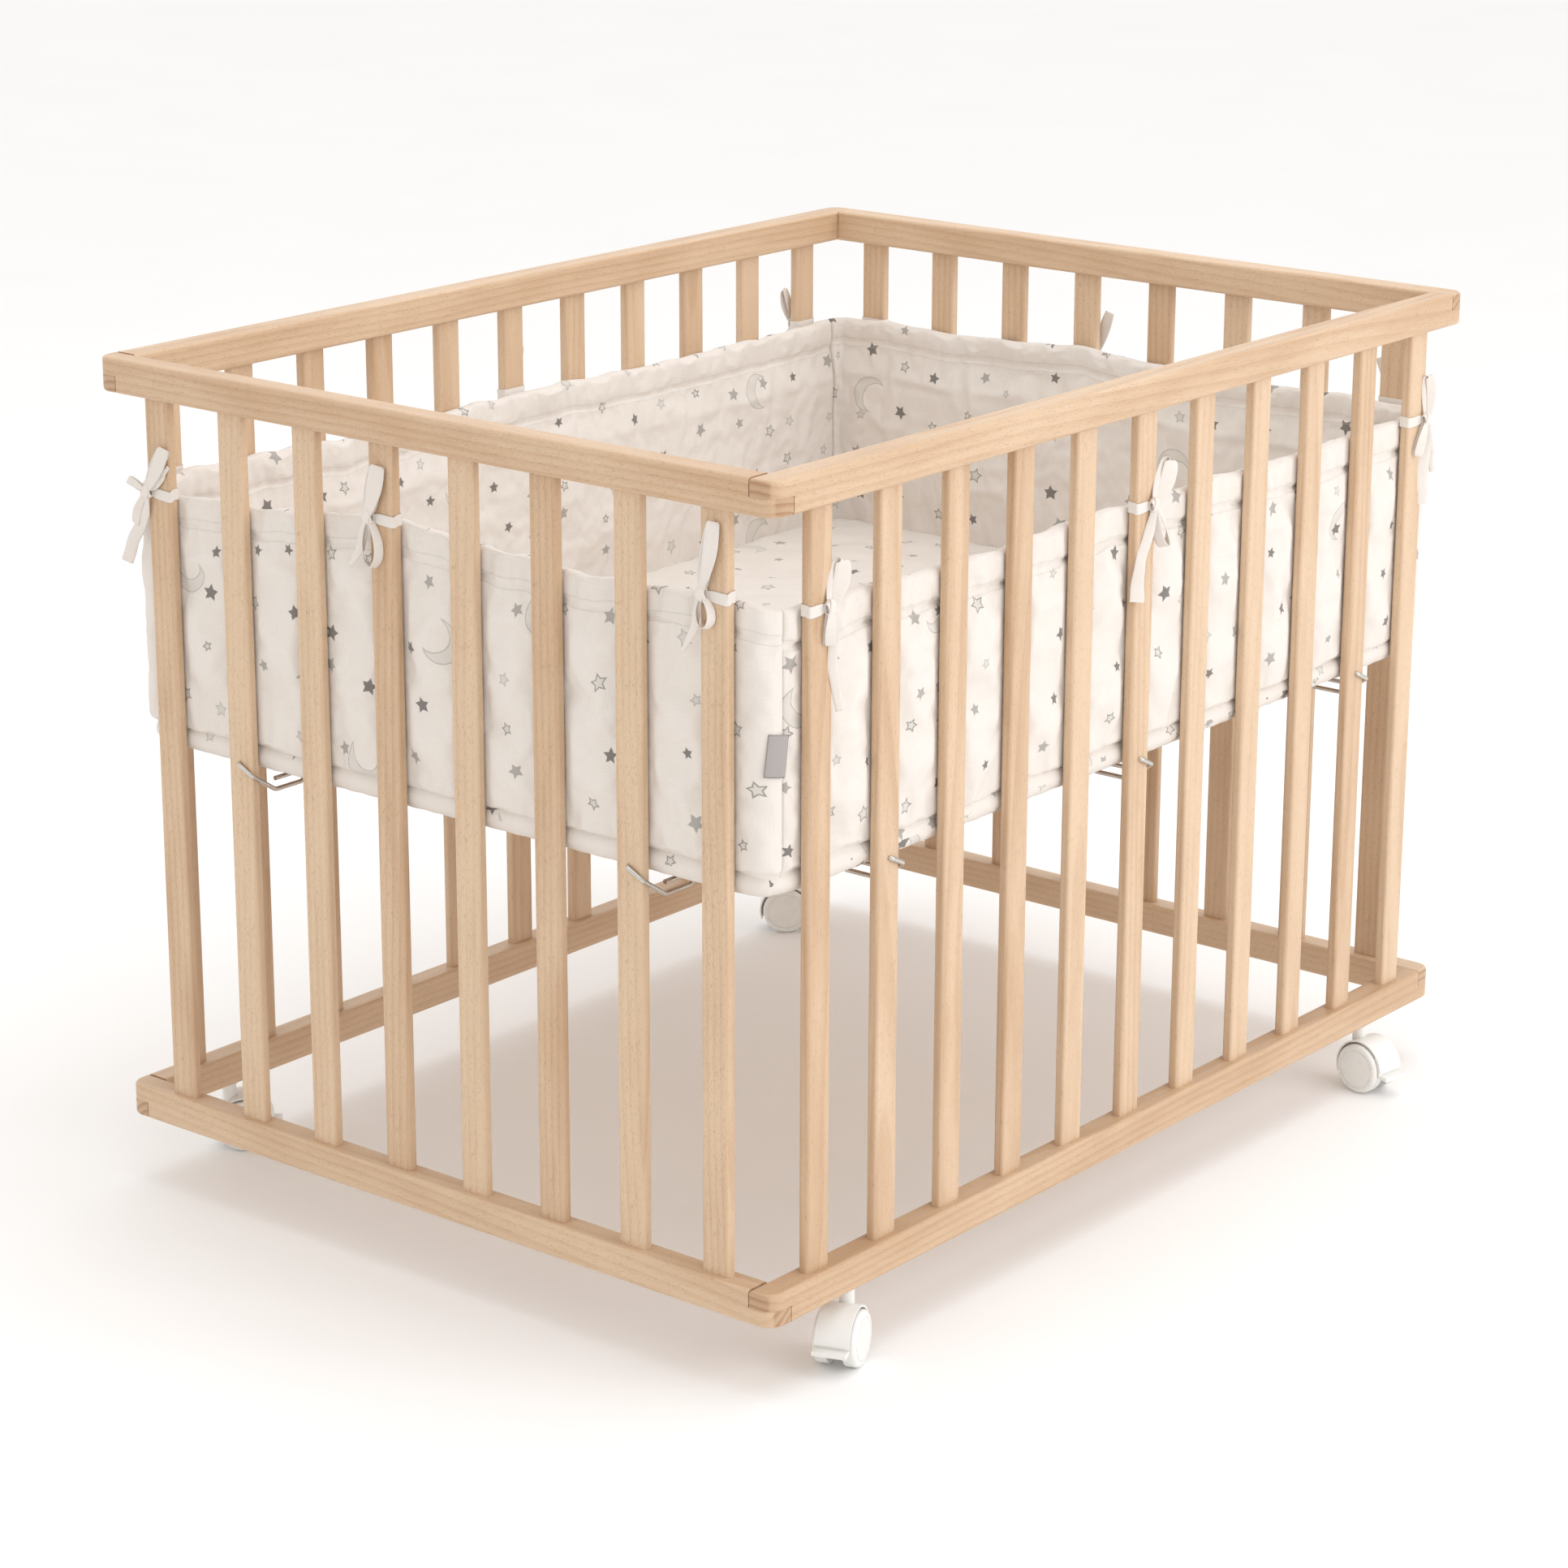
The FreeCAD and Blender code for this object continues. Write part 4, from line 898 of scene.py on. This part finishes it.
@dataclass
class FloorPad:
    """The insert's padded floor: a flat cushion with round edges and rounded corners."""

    half_length: float = 0.4912
    half_width: float = 0.3562
    bottom: float = 0.4143
    thickness: float = 0.024
    squareness: float = 34.0
    seed: int = 61

    def from_rim(self, a: Array, b: Array) -> Array:
        """Distance to the nearest edge."""
        return np.minimum((1 - np.abs(a)) * self.half_length, (1 - np.abs(b)) * self.half_width)

    def surface(self, a: Array, b: Array, top: bool) -> Array:
        """Points of the upper or lower cloth.

        Squares of equal reach become superellipses, so that the corners are round. The edge is a quarter-round
        of half the thickness, and the upper cloth has a low crown and the wadding's relief.

        Args:
            a: Share of the half length, from -1 to 1.
            b: Share of the half width, from -1 to 1.
            top: True for the upper cloth.

        Returns:
            Points of the pen.
        """
        reach = np.maximum(np.abs(a), np.abs(b))
        power = self.squareness
        bend = reach / np.maximum((np.abs(a) ** power + np.abs(b) ** power) ** (1 / power), 1e-9)
        x, y = a * bend * self.half_length, b * bend * self.half_width
        from_rim = self.from_rim(a, b)
        half = self.thickness / 2
        part = np.clip(from_rim / half, 0, 1)
        rise = half * quarter_round(part)
        inland = step(0.0, 0.06, from_rim)
        relief = 0.0008 * ripples(x, y, 0.11, self.seed) + 0.0005 * ripples(x, y, 0.045, self.seed + 1)
        pucker = 0.0005 * np.cos(2 * np.pi * (x + y) / 0.019) * np.exp(-from_rim / 0.012) * part
        up = (rise + (relief - 0.0006) * inland * (1.0 if top else 0.15) + pucker) * (1 if top else -1)
        return np.stack([x + CENTRE[0], y + CENTRE[1], up + self.bottom + half], -1)

    def unfold(self, share: Array, reach: float) -> Array:
        """Distance along the cloth from the middle: the rolled edge counts by its arc."""
        half = self.thickness / 2
        deep = np.clip(1 - (1 - np.abs(share)) * reach / half, 0, 1)
        flat = np.minimum(np.abs(share) * reach, reach - half)
        return np.sign(share) * (flat + half * np.arcsin(deep))

    def build(self, cotton: Finish) -> Thing:
        """Make the floor pad, let it fill out, and dress it.

        Args:
            cotton: The printed cotton.

        Returns:
            The pad.
        """
        reaches = self.half_length, self.half_width
        lines = [spread_lines(reach, self.thickness / 2, 0.0105, 6) / reach for reach in reaches]
        a, b = np.meshgrid(*lines, indexing="ij")
        cloth = np.stack([self.unfold(a, self.half_length), self.unfold(b, self.half_width)], -1)
        cloth = both(cloth, cloth) + np.array([3.3, 2.1])
        cloths = [self.surface(a, b, top) for top in (True, False)]
        piece = add_pillow("floor_cushion", *cloths, cloth, (0.43, 0.29), flip=True)
        held = both(np.where(self.from_rim(a, b) < 0.004, 1.0, 0.15), np.full(a.shape, 0.97))
        move = Softener(pressure=0.5, spare=0.03, cap=0.0025).settle(piece, held)
        settled = read_points(piece) + move
        settled[:, 2] = np.clip(settled[:, 2], self.bottom, self.bottom + self.thickness + 0.0002)
        write_points(piece, settled)
        subdivide(piece)
        piece.data.materials.append(cotton)
        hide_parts("floor_pad")
        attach(piece, "floor")
        log.info("floor pad: %d points", len(piece.data.vertices))
        return piece


# ---------------------------------------------------------------------------
# Tape bows
# ---------------------------------------------------------------------------
def smooth_line(knots: Array, count: int) -> Array:
    """Catmull-Rom curve through the knots, as whole arrays."""
    knots = np.asarray(knots, float)
    t = np.linspace(0, len(knots) - 1, count)
    i = np.minimum(t.astype(int), len(knots) - 2)
    f = (t - i)[:, None]
    last = len(knots) - 1
    p0, p1, p2, p3 = (knots[np.clip(i + k, 0, last)] for k in (-1, 0, 1, 2))
    return 0.5 * (2 * p1 + (p2 - p0) * f + (2 * p0 - 5 * p1 + 4 * p2 - p3) * f**2 + (3 * p1 - p0 - 3 * p2 + p3) * f**3)


@dataclass
class Strand:
    """A length of flat tape: its middle line, the way its width points, and its width, in the side's own measures."""

    line: Array
    flat: Array
    width: Array
    closed: bool = False
    thick: float = 0.0007

    def mesh(self, start: int) -> tuple[Array, list, Array]:
        """Sweep a thin, slightly cupped section along the line.

        Args:
            start: Number of the first new point.

        Returns:
            Points, faces and cloth coordinates.
        """
        line = self.line
        ahead = (np.roll(line, -1, 0) - np.roll(line, 1, 0)) if self.closed else np.gradient(line, axis=0)
        ahead /= np.maximum(np.linalg.norm(ahead, axis=1, keepdims=True), 1e-9)
        flat = self.flat - ahead * np.sum(self.flat * ahead, 1, keepdims=True)
        flat /= np.maximum(np.linalg.norm(flat, axis=1, keepdims=True), 1e-9)
        face = np.cross(ahead, flat)
        across = np.array([-1.0, -0.86, -0.4, 0.0, 0.4, 0.86, 1.0, 0.86, 0.4, 0.0, -0.4, -0.86])
        lift = np.array([0.0, 0.5, 0.5, 0.5, 0.5, 0.5, 0.0, -0.5, -0.5, -0.5, -0.5, -0.5]) * self.thick
        cup = 0.05 * (1 - across**2)
        half = self.width[:, None] / 2
        wide, high = (across * half)[..., None], (lift + cup * half)[..., None]
        points = line[:, None] + flat[:, None] * wide + face[:, None] * high
        n, m = len(line), len(across)
        grid = start + np.arange(n * m).reshape(n, m)
        beside = np.roll(grid, -1, 1)
        rings = [np.roll(grid, -1, 0), np.roll(beside, -1, 0)] if self.closed else [grid[1:], beside[1:]]
        last = n if self.closed else n - 1
        faces = np.stack([grid[:last], rings[0], rings[1], beside[:last]], -1).reshape(-1, 4)[:, ::-1].tolist()
        if not self.closed:
            faces += [grid[0].tolist(), grid[-1][::-1].tolist()]
        steps = np.concatenate([[0.0], np.cumsum(np.linalg.norm(np.diff(line, axis=0), axis=1))])[:, None]
        cloth = np.stack([np.repeat(steps, m, 1) + start * 0.0137, across * half + 0.31 + 0 * steps], -1)
        return points.reshape(-1, 3), faces, cloth.reshape(-1, 2)


class Lie(Enum):
    """How a loop of tape sits.

    Each way has five rows of numbers along the loop: share of the length, share to the side, millimetres out,
    tilt of the tape, and share of the width.
    """

    FOLDED = (
        (0.0, 0.25, 0.6, 0.93, 1.0, 0.95, 0.6, 0.25, 0.0),
        (0.0, 0.02, 0.05, 0.05, 0.04, 0.02, -0.03, -0.02, 0.0),
        (2.6, 3.0, 2.4, 2.2, 3.4, 5.0, 6.0, 5.6, 4.4),
        (0.9, 0.25, 0.1, 0.15, 0.25, 0.1, -0.1, -0.3, -0.9),
        (0.5, 0.82, 1.0, 0.92, 0.56, 0.88, 0.95, 0.7, 0.45),
    )
    OPEN = (
        (0.0, 0.22, 0.52, 0.82, 1.0, 0.84, 0.52, 0.22, 0.0),
        (0.0, 0.30, 0.50, 0.40, 0.0, -0.42, -0.50, -0.28, 0.0),
        (3.2, 3.9, 4.4, 4.5, 4.6, 4.7, 4.6, 4.3, 3.8),
        (-0.9, -0.9, -0.8, -0.5, 0.1, 0.6, 0.9, 0.9, 0.9),
        (0.55, 0.75, 0.9, 0.95, 0.95, 0.95, 0.9, 0.75, 0.5),
    )


@dataclass(frozen=True)
class Loop:
    """One loop of a bow."""

    angle: float
    length: float
    width: float = 0.010
    lie: Lie = Lie.FOLDED
    open: float = 0.016

    def strand(self, knot: Array) -> Strand:
        """Tape that leaves the knot, turns back and comes home: folded on itself, or as a drop-shaped ring.

        Args:
            knot: Place of the knot.

        Returns:
            The tape.
        """
        a = math.radians(self.angle)
        ahead, beside = np.array([math.cos(a), math.sin(a), 0]), np.array([-math.sin(a), math.cos(a), 0])
        outward = np.array([0.0, 0.0, 1.0])
        far, side, rise, lean, width = (np.array(part)[:, None] for part in self.lie.value)
        if self.lie is Lie.FOLDED:
            line = far * self.length * ahead + side * self.length * beside + rise * 0.001 * outward
            flat = beside + outward * lean
        else:
            line = far * self.length * ahead + side * self.open * beside + rise * 0.001 * outward
            flat = outward * 0.75 + beside * lean * 0.7 - ahead * 0.2
        line, flat, pinch = (smooth_line(part, 48) for part in (line, flat, width))
        return Strand(knot + line, flat, self.width * pinch[:, 0])


@dataclass(frozen=True)
class Tail:
    """One loose end of a bow."""

    angle: float
    length: float
    bend: float = 0.0
    width: float = 0.010
    end: float = 1.0
    start: float = 0.55

    def strand(self, knot: Array) -> Strand:
        """Tape whose heading turns evenly from its first angle, lying close to the slat, with small waves.

        Args:
            knot: Place of the knot.

        Returns:
            The tape.
        """
        count = 44
        t = np.linspace(0, 1, count)
        heading = np.radians(self.angle + self.bend * t + 9 * np.sin(2 * np.pi * t * 1.3 + self.length * 90))
        move = np.stack([np.cos(heading), np.sin(heading)], -1) * self.length / (count - 1)
        path = np.concatenate([[[0, 0]], np.cumsum(move[:-1], 0)])
        out = 0.0028 * (1 - t) ** 2 + 0.0013 + 0.0011 * np.sin(2 * np.pi * t * 1.6 + self.angle) ** 2 * t
        line = knot + np.stack([path[:, 0], path[:, 1], out], -1)
        tilt = 0.5 * (1 - t) ** 3
        flat = np.stack([-np.sin(heading) * np.cos(tilt), np.cos(heading) * np.cos(tilt), np.sin(tilt)], -1)
        width = self.width * (self.start + (1 - self.start) * step(0.0, 0.3, t))
        return Strand(line, flat, width * (1 + (self.end - 1) * step(0.55, 1.0, t)))


@dataclass(frozen=True)
class Bow:
    """A tape tied round one slat."""

    slat: int
    knot: float
    slant: float
    parts: tuple[Loop | Tail, ...]
    height: float = TIE_HEIGHT
    half_width: float = 0.014
    half_depth: float = 0.005
    facing: float = 0.0

    def band(self, middle: float) -> Strand:
        """Tape round the slat: a rounded rectangle just off the wood, narrower at the knot.

        Args:
            middle: Middle of the slat.

        Returns:
            The closed tape.
        """
        off = 0.00062
        t = np.linspace(0, 2 * np.pi, 96, endpoint=False)
        wide, deep = self.half_width + off, self.half_depth + off
        power = 7.0
        bend = (np.abs(np.cos(t)) ** power + np.abs(np.sin(t)) ** power) ** (-1 / power)
        right, out = wide * bend * np.cos(t), deep * bend * np.sin(t)
        front = step(0.0, deep, out)
        up = self.height + self.slant * right * front - 0.0006 * front
        near = np.exp(-(((right - self.knot) / 0.006) ** 2)) * front
        line = np.stack([middle + right, up, out - self.half_depth - 0.007 + 0.0003 * near], -1)
        flat = np.zeros_like(line)
        flat[:, 1] = 1.0
        flat[:, 0] = -self.slant * front
        return Strand(line, flat, 0.0098 - 0.0040 * near, closed=True, thick=0.0005)

    def wraps(self, knot: Array) -> list[Strand]:
        """The knot: two short turns of tape crossing over each other, as ovals that stand up from the slat."""
        t = np.linspace(0, 2 * np.pi, 40, endpoint=False)
        made = []
        for lean, tall, deep, width in ((0.25, 0.0056, 0.0031, 0.0082), (-0.45, 0.0048, 0.0024, 0.0102)):
            up, out = tall * np.cos(t), deep * np.sin(t)
            line = knot + np.stack([lean * up, up, out + 0.0033], -1)
            flat = np.tile(np.array([1.0, -lean, 0.0]), (40, 1))
            made.append(Strand(line, flat, width * (1 - 0.18 * np.abs(np.cos(t))), closed=True, thick=0.0012))
        return made

    def strands(self, side: Side) -> list[Strand]:
        """All tapes of the bow, in the side's own measures."""
        middle = side.slat_places()[self.slat - 1]
        knot = np.array([middle + self.knot, self.height + self.slant * self.knot, -0.0066])
        made = [part.strand(knot) for part in self.parts]
        for strand in made:
            strand.flat[:, 2] += self.facing * strand.flat[:, 0]
        return [self.band(middle), *self.wraps(knot), *made]


@dataclass
class TapeBows:
    """All the bows on one side."""

    side: Side
    bows: tuple[Bow, ...]

    def build(self, cotton: Finish) -> Thing:
        """Sweep every tape of the side into one piece.

        Args:
            cotton: The printed cotton of the tapes.

        Returns:
            The piece.
        """
        points, faces, cloth, start = [], [], [], 0
        for bow in self.bows:
            for strand in bow.strands(self.side):
                more, sides, flat = strand.mesh(start)
                points.append(more)
                faces += sides
                cloth.append(flat)
                start += len(more)
        local = np.concatenate(points)
        turned = self.side.to_pen(local[:, 0], local[:, 1], local[:, 2])
        piece = add_mesh(f"tape_bows_{self.side.name}", turned, faces, np.concatenate(cloth))
        piece.data.materials.append(cotton)
        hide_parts(f"ties_{self.side.name}")
        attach(piece, "frame")
        log.info("bows %s: %d points", self.side.name, start)
        return piece


@dataclass
class Label:
    """A blank woven label caught in the insert's upright corner seam, slightly curled."""

    wall: InsertWall
    low: float = 0.5168
    width: float = 0.0180
    height: float = 0.0345
    lean: float = 7.0
    thick: float = 0.0006

    def build(self, woven: Finish) -> Thing:
        """A thin closed sheet beside the seam, held at one edge and bent less than the corner it lies on.

        The sheet is a tangent plane of the corner, turned a few degrees in its own plane, that drops with the
        square of the distance from its middle and lifts again along its free edge.

        Args:
            woven: The label's finish.

        Returns:
            The label.
        """
        across, up = np.meshgrid(np.linspace(-1, 1, 15), np.linspace(0, 1, 21), indexing="ij")
        lean = math.radians(self.lean)
        a, b = across * self.width / 2, (up - 0.5) * self.height
        side, rise = a * math.cos(lean) + b * math.sin(lean), b * math.cos(lean) - a * math.sin(lean)
        turn = self.wall.wrap - (self.width / 2 + 0.001) / self.wall.corner
        curl = 0.0012 * step(0.2, -1.0, across) * (0.4 + 0.6 * (1 - up))
        arm = self.wall.corner + (0.0019 - side**2 / 0.04 * 0.75 + curl + 0.0003 * np.sin(5 * up))
        right = self.wall.straight + arm * math.sin(turn) + side * math.cos(turn)
        out = -(self.wall.inset + self.wall.corner) + arm * math.cos(turn) - side * math.sin(turn)
        height = self.low + self.height / 2 + rise
        front = self.wall.side.to_pen(right, height, out)
        back = self.wall.side.to_pen(right - self.thick * math.sin(turn), height, out - self.thick * math.cos(turn))
        flat = np.stack([a, b], -1)
        piece = add_pillow("woven_label_blank", front, back, both(flat, flat), (0.0, 0.0))
        piece.data.materials.append(woven)
        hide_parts("insert_label")
        self.wall.side.sew(piece)
        log.info("label done")
        return piece


# ---------------------------------------------------------------------------
# Hard parts, stage, light and camera
# ---------------------------------------------------------------------------
class Timber:
    """Rails, slats, dowels and floor board: CAD nodes with wood finishes."""

    def dress(self) -> None:
        """Give every wooden node its own beech."""
        for number, side in enumerate(SIDES):
            grain = Grain.ALONG if side.name in ("front", "back") else Grain.ACROSS
            for level in ("top", "bottom"):
                self.dress_node(f"{level}_rail_{side.name}", grain, 11.0 + number * 3 + (level == "top"))
            phase = 0.5 if side.slats % 2 else 0.0
            self.dress_node(f"slats_{side.name}", Grain.UPRIGHT, 31.0 + number, PITCH, grain.value, phase)
        self.dress_node("corner_dowels", Grain.UPRIGHT, 51.0)
        self.dress_node("floor_board", Grain.ALONG, 57.0)

    def dress_node(self, node: str, grain: Grain, seed: float, *slats: float) -> None:
        """Beech for one node, centred on its box. Slats add their pitch, direction and phase."""
        low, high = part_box(node)
        middle = tuple((low + high) / 2)
        put_on(node, Beech(f"beech_{node}", grain, middle, seed, *slats).build())


def put_on(node: str, material: Finish) -> None:
    """Give a CAD node a finish."""
    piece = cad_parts[node]
    if not piece.material_slots:
        piece.data.materials.append(material)
    for slot in piece.material_slots:
        slot.material = material


class Fittings:
    """Hooks and casters: CAD nodes with metal and plastic finishes."""

    def dress(self) -> None:
        """Give every fitting its finish."""
        wire = Plated("hook_wire", (214, 210, 204), 0.24).build()
        steel = Plated("stem_steel", (200, 199, 198), 0.30).build()
        shell = Moulded("caster_nylon", (240, 239, 235), 0.40, 0.15).build()
        tread = Moulded("caster_wheel", (238, 237, 233), 0.28, 0.25).build()
        finishes = {
            ("hooks_", ""): wire,
            **{("caster_", ending): shell for ending in ("socket", "housing", "brake_pedal")},
            **{("caster_", ending): tread for ending in ("wheel_a", "wheel_b")},
            **{("caster_", ending): steel for ending in ("stem", "axle")},
        }
        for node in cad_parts:
            for (beginning, ending), finish in finishes.items():
                if node.startswith(beginning) and node.endswith(ending):
                    put_on(node, finish)
        log.info("fittings dressed")


@dataclass
class Studio:
    """Pale floor, soft light and the camera."""

    target: tuple[float, float, float] = (-0.2259, -0.1413, 0.4115)
    azimuth: float = -51.03
    elevation: float = 17.20
    distance: float = 3.5806
    lens: float = 96.13
    roll: float = 0.161

    def build(self) -> None:
        """Set up everything that isn't the pen."""
        self.floor()
        self.lights()
        self.camera()

    def floor(self) -> None:
        """A wide pale floor with a faint texture."""
        size = 26.0
        grid = np.linspace(-size, size, 13)
        x, y = np.meshgrid(grid, grid, indexing="ij")
        number = np.arange(x.size).reshape(x.shape)
        points = np.stack([x, y, 0 * x - 0.0002], -1).reshape(-1, 3)
        piece = add_mesh("studio_floor", points, quads(number), points[:, :2])
        g = Graph("studio_floor")
        along, across = g.cloth()
        cloud = g.noise(along * 3.0, across * 3.0)
        g.set(Base_Color=g.mix(cloud, ink((247, 246, 245)), ink((251, 250, 249))), Roughness=0.75)
        piece.data.materials.append(g.material)

    def lights(self) -> None:
        """A big soft light in front, a weaker one above, and a white room."""
        world = bpy.data.worlds.new("studio")
        world.use_nodes = True
        room = world.node_tree.nodes["Background"].inputs
        room["Color"].default_value, room["Strength"].default_value = (1.0, 0.995, 0.985, 1.0), 1.0
        bpy.context.scene.world = world
        for name, spot, size, power, tint in (
            ("key", (0.8, -3.9, 2.2), 3.0, 57.0, (0.97, 0.99, 1.04)),
            ("overhead", (0.2, -0.3, 3.2), 2.6, 26.0, (0.96, 1.0, 1.06)),
        ):
            lamp = bpy.data.lights.new(name, "AREA")
            lamp.size, lamp.energy, lamp.color = size, power, tint
            holder = bpy.data.objects.new(name, lamp)
            holder.location = spot
            aim = Vector((0.0, 0.0, 0.45)) - Vector(spot)
            holder.rotation_euler = aim.to_track_quat("-Z", "Y").to_euler()
            bpy.context.scene.collection.objects.link(holder)

    def camera(self) -> None:
        """The camera on a sphere about its target, with a slight roll."""
        a, e, r = (math.radians(part) for part in (self.azimuth, self.elevation, self.roll))
        away = Vector((math.sin(a) * math.cos(e), -math.cos(a) * math.cos(e), math.sin(e)))
        right = Vector((math.cos(a), math.sin(a), 0.0))
        up = away.cross(right)
        turned = right * math.cos(r) + up * math.sin(r)
        raised = away.cross(turned)
        spot = Vector(self.target) + away * self.distance
        eye = bpy.data.cameras.new("camera")
        eye.lens, eye.sensor_width, eye.sensor_fit = self.lens, 36.0, "HORIZONTAL"
        eye.clip_start, eye.clip_end = 0.05, 60.0
        holder = bpy.data.objects.new("camera", eye)
        holder.matrix_world = Matrix.Translation(spot) @ Matrix((turned, raised, away)).transposed().to_4x4()
        bpy.context.scene.collection.objects.link(holder)
        bpy.context.scene.camera = holder
        bpy.context.scene.view_settings.view_transform = "Standard"


# ---------------------------------------------------------------------------
# The pen's own pieces
# ---------------------------------------------------------------------------
BOWS = {  # slat, knot's place, slant, and the loops and tails
    "left": (
        Bow(1, -0.010, -0.10, facing=-0.5, parts=(
            Loop(58, 0.046, 0.0130), Tail(38, 0.036, 14, 0.007, 0.5), Loop(-118, 0.034, 0.008),
            Tail(-112, 0.074, -8, 0.011, 1.0), Loop(160, 0.024, 0.008),
        )),
        Bow(4, -0.011, -0.06, height=0.6650, facing=-0.5, parts=(
            Loop(72, 0.046, 0.015), Loop(-84, 0.042, 0.0090, Lie.OPEN, 0.019),
            Tail(-110, 0.052, -14, 0.008, 0.45),
        )),
        Bow(8, -0.009, -0.08, height=0.6590, facing=-0.5, parts=(
            Loop(76, 0.060, 0.0125), Loop(-80, 0.027, 0.0080, Lie.OPEN, 0.016),
            Tail(-106, 0.055, -12, 0.0065, 0.45),
        )),
    ),
    "front": (
        Bow(1, 0.006, 0.05, facing=0.75, parts=(
            Loop(66, 0.037, 0.0150), Loop(-96, 0.030, 0.010), Tail(-84, 0.088, 4, 0.0085, 0.8),
        )),
        Bow(6, 0.006, 0.04, facing=0.75, parts=(
            Loop(56, 0.041, 0.0155), Tail(-112, 0.085, 12, 0.0095, 1.45),
            Loop(-66, 0.043, 0.0095, Lie.OPEN, 0.013),
        )),
        Bow(11, 0.011, 0.02, facing=0.75, parts=(
            Loop(88, 0.040, 0.010), Loop(-116, 0.036, 0.010), Tail(-92, 0.082, 3, 0.0125, 0.75),
            Tail(-68, 0.056, -8, 0.0065, 0.8),
        )),
    ),
    "back": (
        Bow(1, 0.004, 0.04, (
            Loop(66, 0.040, 0.010), Loop(-70, 0.034, 0.009, Lie.OPEN, 0.015), Tail(-100, 0.078, 6, 0.0105, 1.0),
        )),
        Bow(6, -0.006, -0.05, (
            Loop(112, 0.044, 0.0115), Tail(-74, 0.080, -6, 0.0105, 1.1), Loop(-112, 0.036, 0.0095),
        )),
        Bow(11, 0.002, 0.03, (
            Loop(80, 0.036, 0.010), Loop(-104, 0.038, 0.009, Lie.OPEN, 0.016), Tail(-86, 0.072, 5, 0.010, 0.9),
            Tail(-64, 0.048, -6, 0.008, 0.9),
        )),
    ),
    "right": (
        Bow(1, 0.005, 0.05, (
            Loop(64, 0.042, 0.0105), Loop(-80, 0.034, 0.009, Lie.OPEN, 0.016), Tail(-104, 0.074, 6, 0.010, 1.0),
        )),
        Bow(5, -0.005, -0.04, (
            Loop(108, 0.046, 0.0115), Loop(-108, 0.036, 0.0095), Tail(-82, 0.078, 5, 0.0105, 1.0),
        )),
        Bow(8, 0.007, 0.05, (
            Loop(84, 0.038, 0.010), Loop(-112, 0.034, 0.0095), Tail(-88, 0.080, 4, 0.010, 0.9),
        )),
    ),
}
TOPS = {  # how high each wall's top edge is along it
    "front": ((-0.50, 0.648), (-0.44, 0.646), (-0.2, 0.644), (0.0, 0.648), (0.2, 0.6445), (0.44, 0.647), (0.5, 0.648)),
    "back": ((-0.50, 0.648), (-0.44, 0.647), (-0.2, 0.645), (0.0, 0.648), (0.2, 0.645), (0.44, 0.648), (0.5, 0.648)),
    "right": ((-0.37, 0.648), (-0.31, 0.650), (-0.1, 0.648), (0.05, 0.657), (0.2, 0.649), (0.31, 0.652), (0.37, 0.648)),
    "left": (
        (-0.37, 0.646), (-0.31, 0.644), (-0.18, 0.649), (-0.05, 0.664),
        (0.03, 0.657), (0.16, 0.649), (0.31, 0.657), (0.37, 0.648),
    ),
}


LONG_WALL = {"bulge": 0.0072, "band_puff": 0.0014}
SHORT_WALL = {"bulge": 0.0060, "band_puff": 0.0002, "wrap": math.pi / 2, "band": 0.024, "groove": 0.0016}


def main() -> None:
    """Build and dress the pen, class by class."""
    logging.basicConfig(level=logging.INFO, format="%(name)s: %(message)s")
    Timber().dress()
    Fittings().dress()
    long_cotton = Cotton("printed_cotton_long_walls", seams=(0.6204, 0.6290)).build()
    short_cotton = Cotton("printed_cotton_short_walls", seams=(0.6264, 0.6350)).build()
    pad_cotton = Cotton("printed_cotton_floor").build()
    tape_cotton = Cotton("printed_cotton_tape", cell=0.0760).build()
    walls = {}
    for number, side in enumerate(SIDES):
        long = side.half > 0.4
        shape = LONG_WALL if long else SHORT_WALL
        wall = InsertWall(side, TOPS[side.name], 100 + 7 * number, **shape)
        if side.name == "left":
            wall.label_at = (wall.span - 0.009, 0.508, 0.560)
        walls[side.name] = wall
        wall.build(long_cotton if long else short_cotton)
        TapeBows(side, BOWS[side.name]).build(tape_cotton)
    FloorPad().build(pad_cotton)
    Label(walls["left"]).build(Woven("woven_label").build())
    Studio().build()


if __name__ == "__main__":
    main()
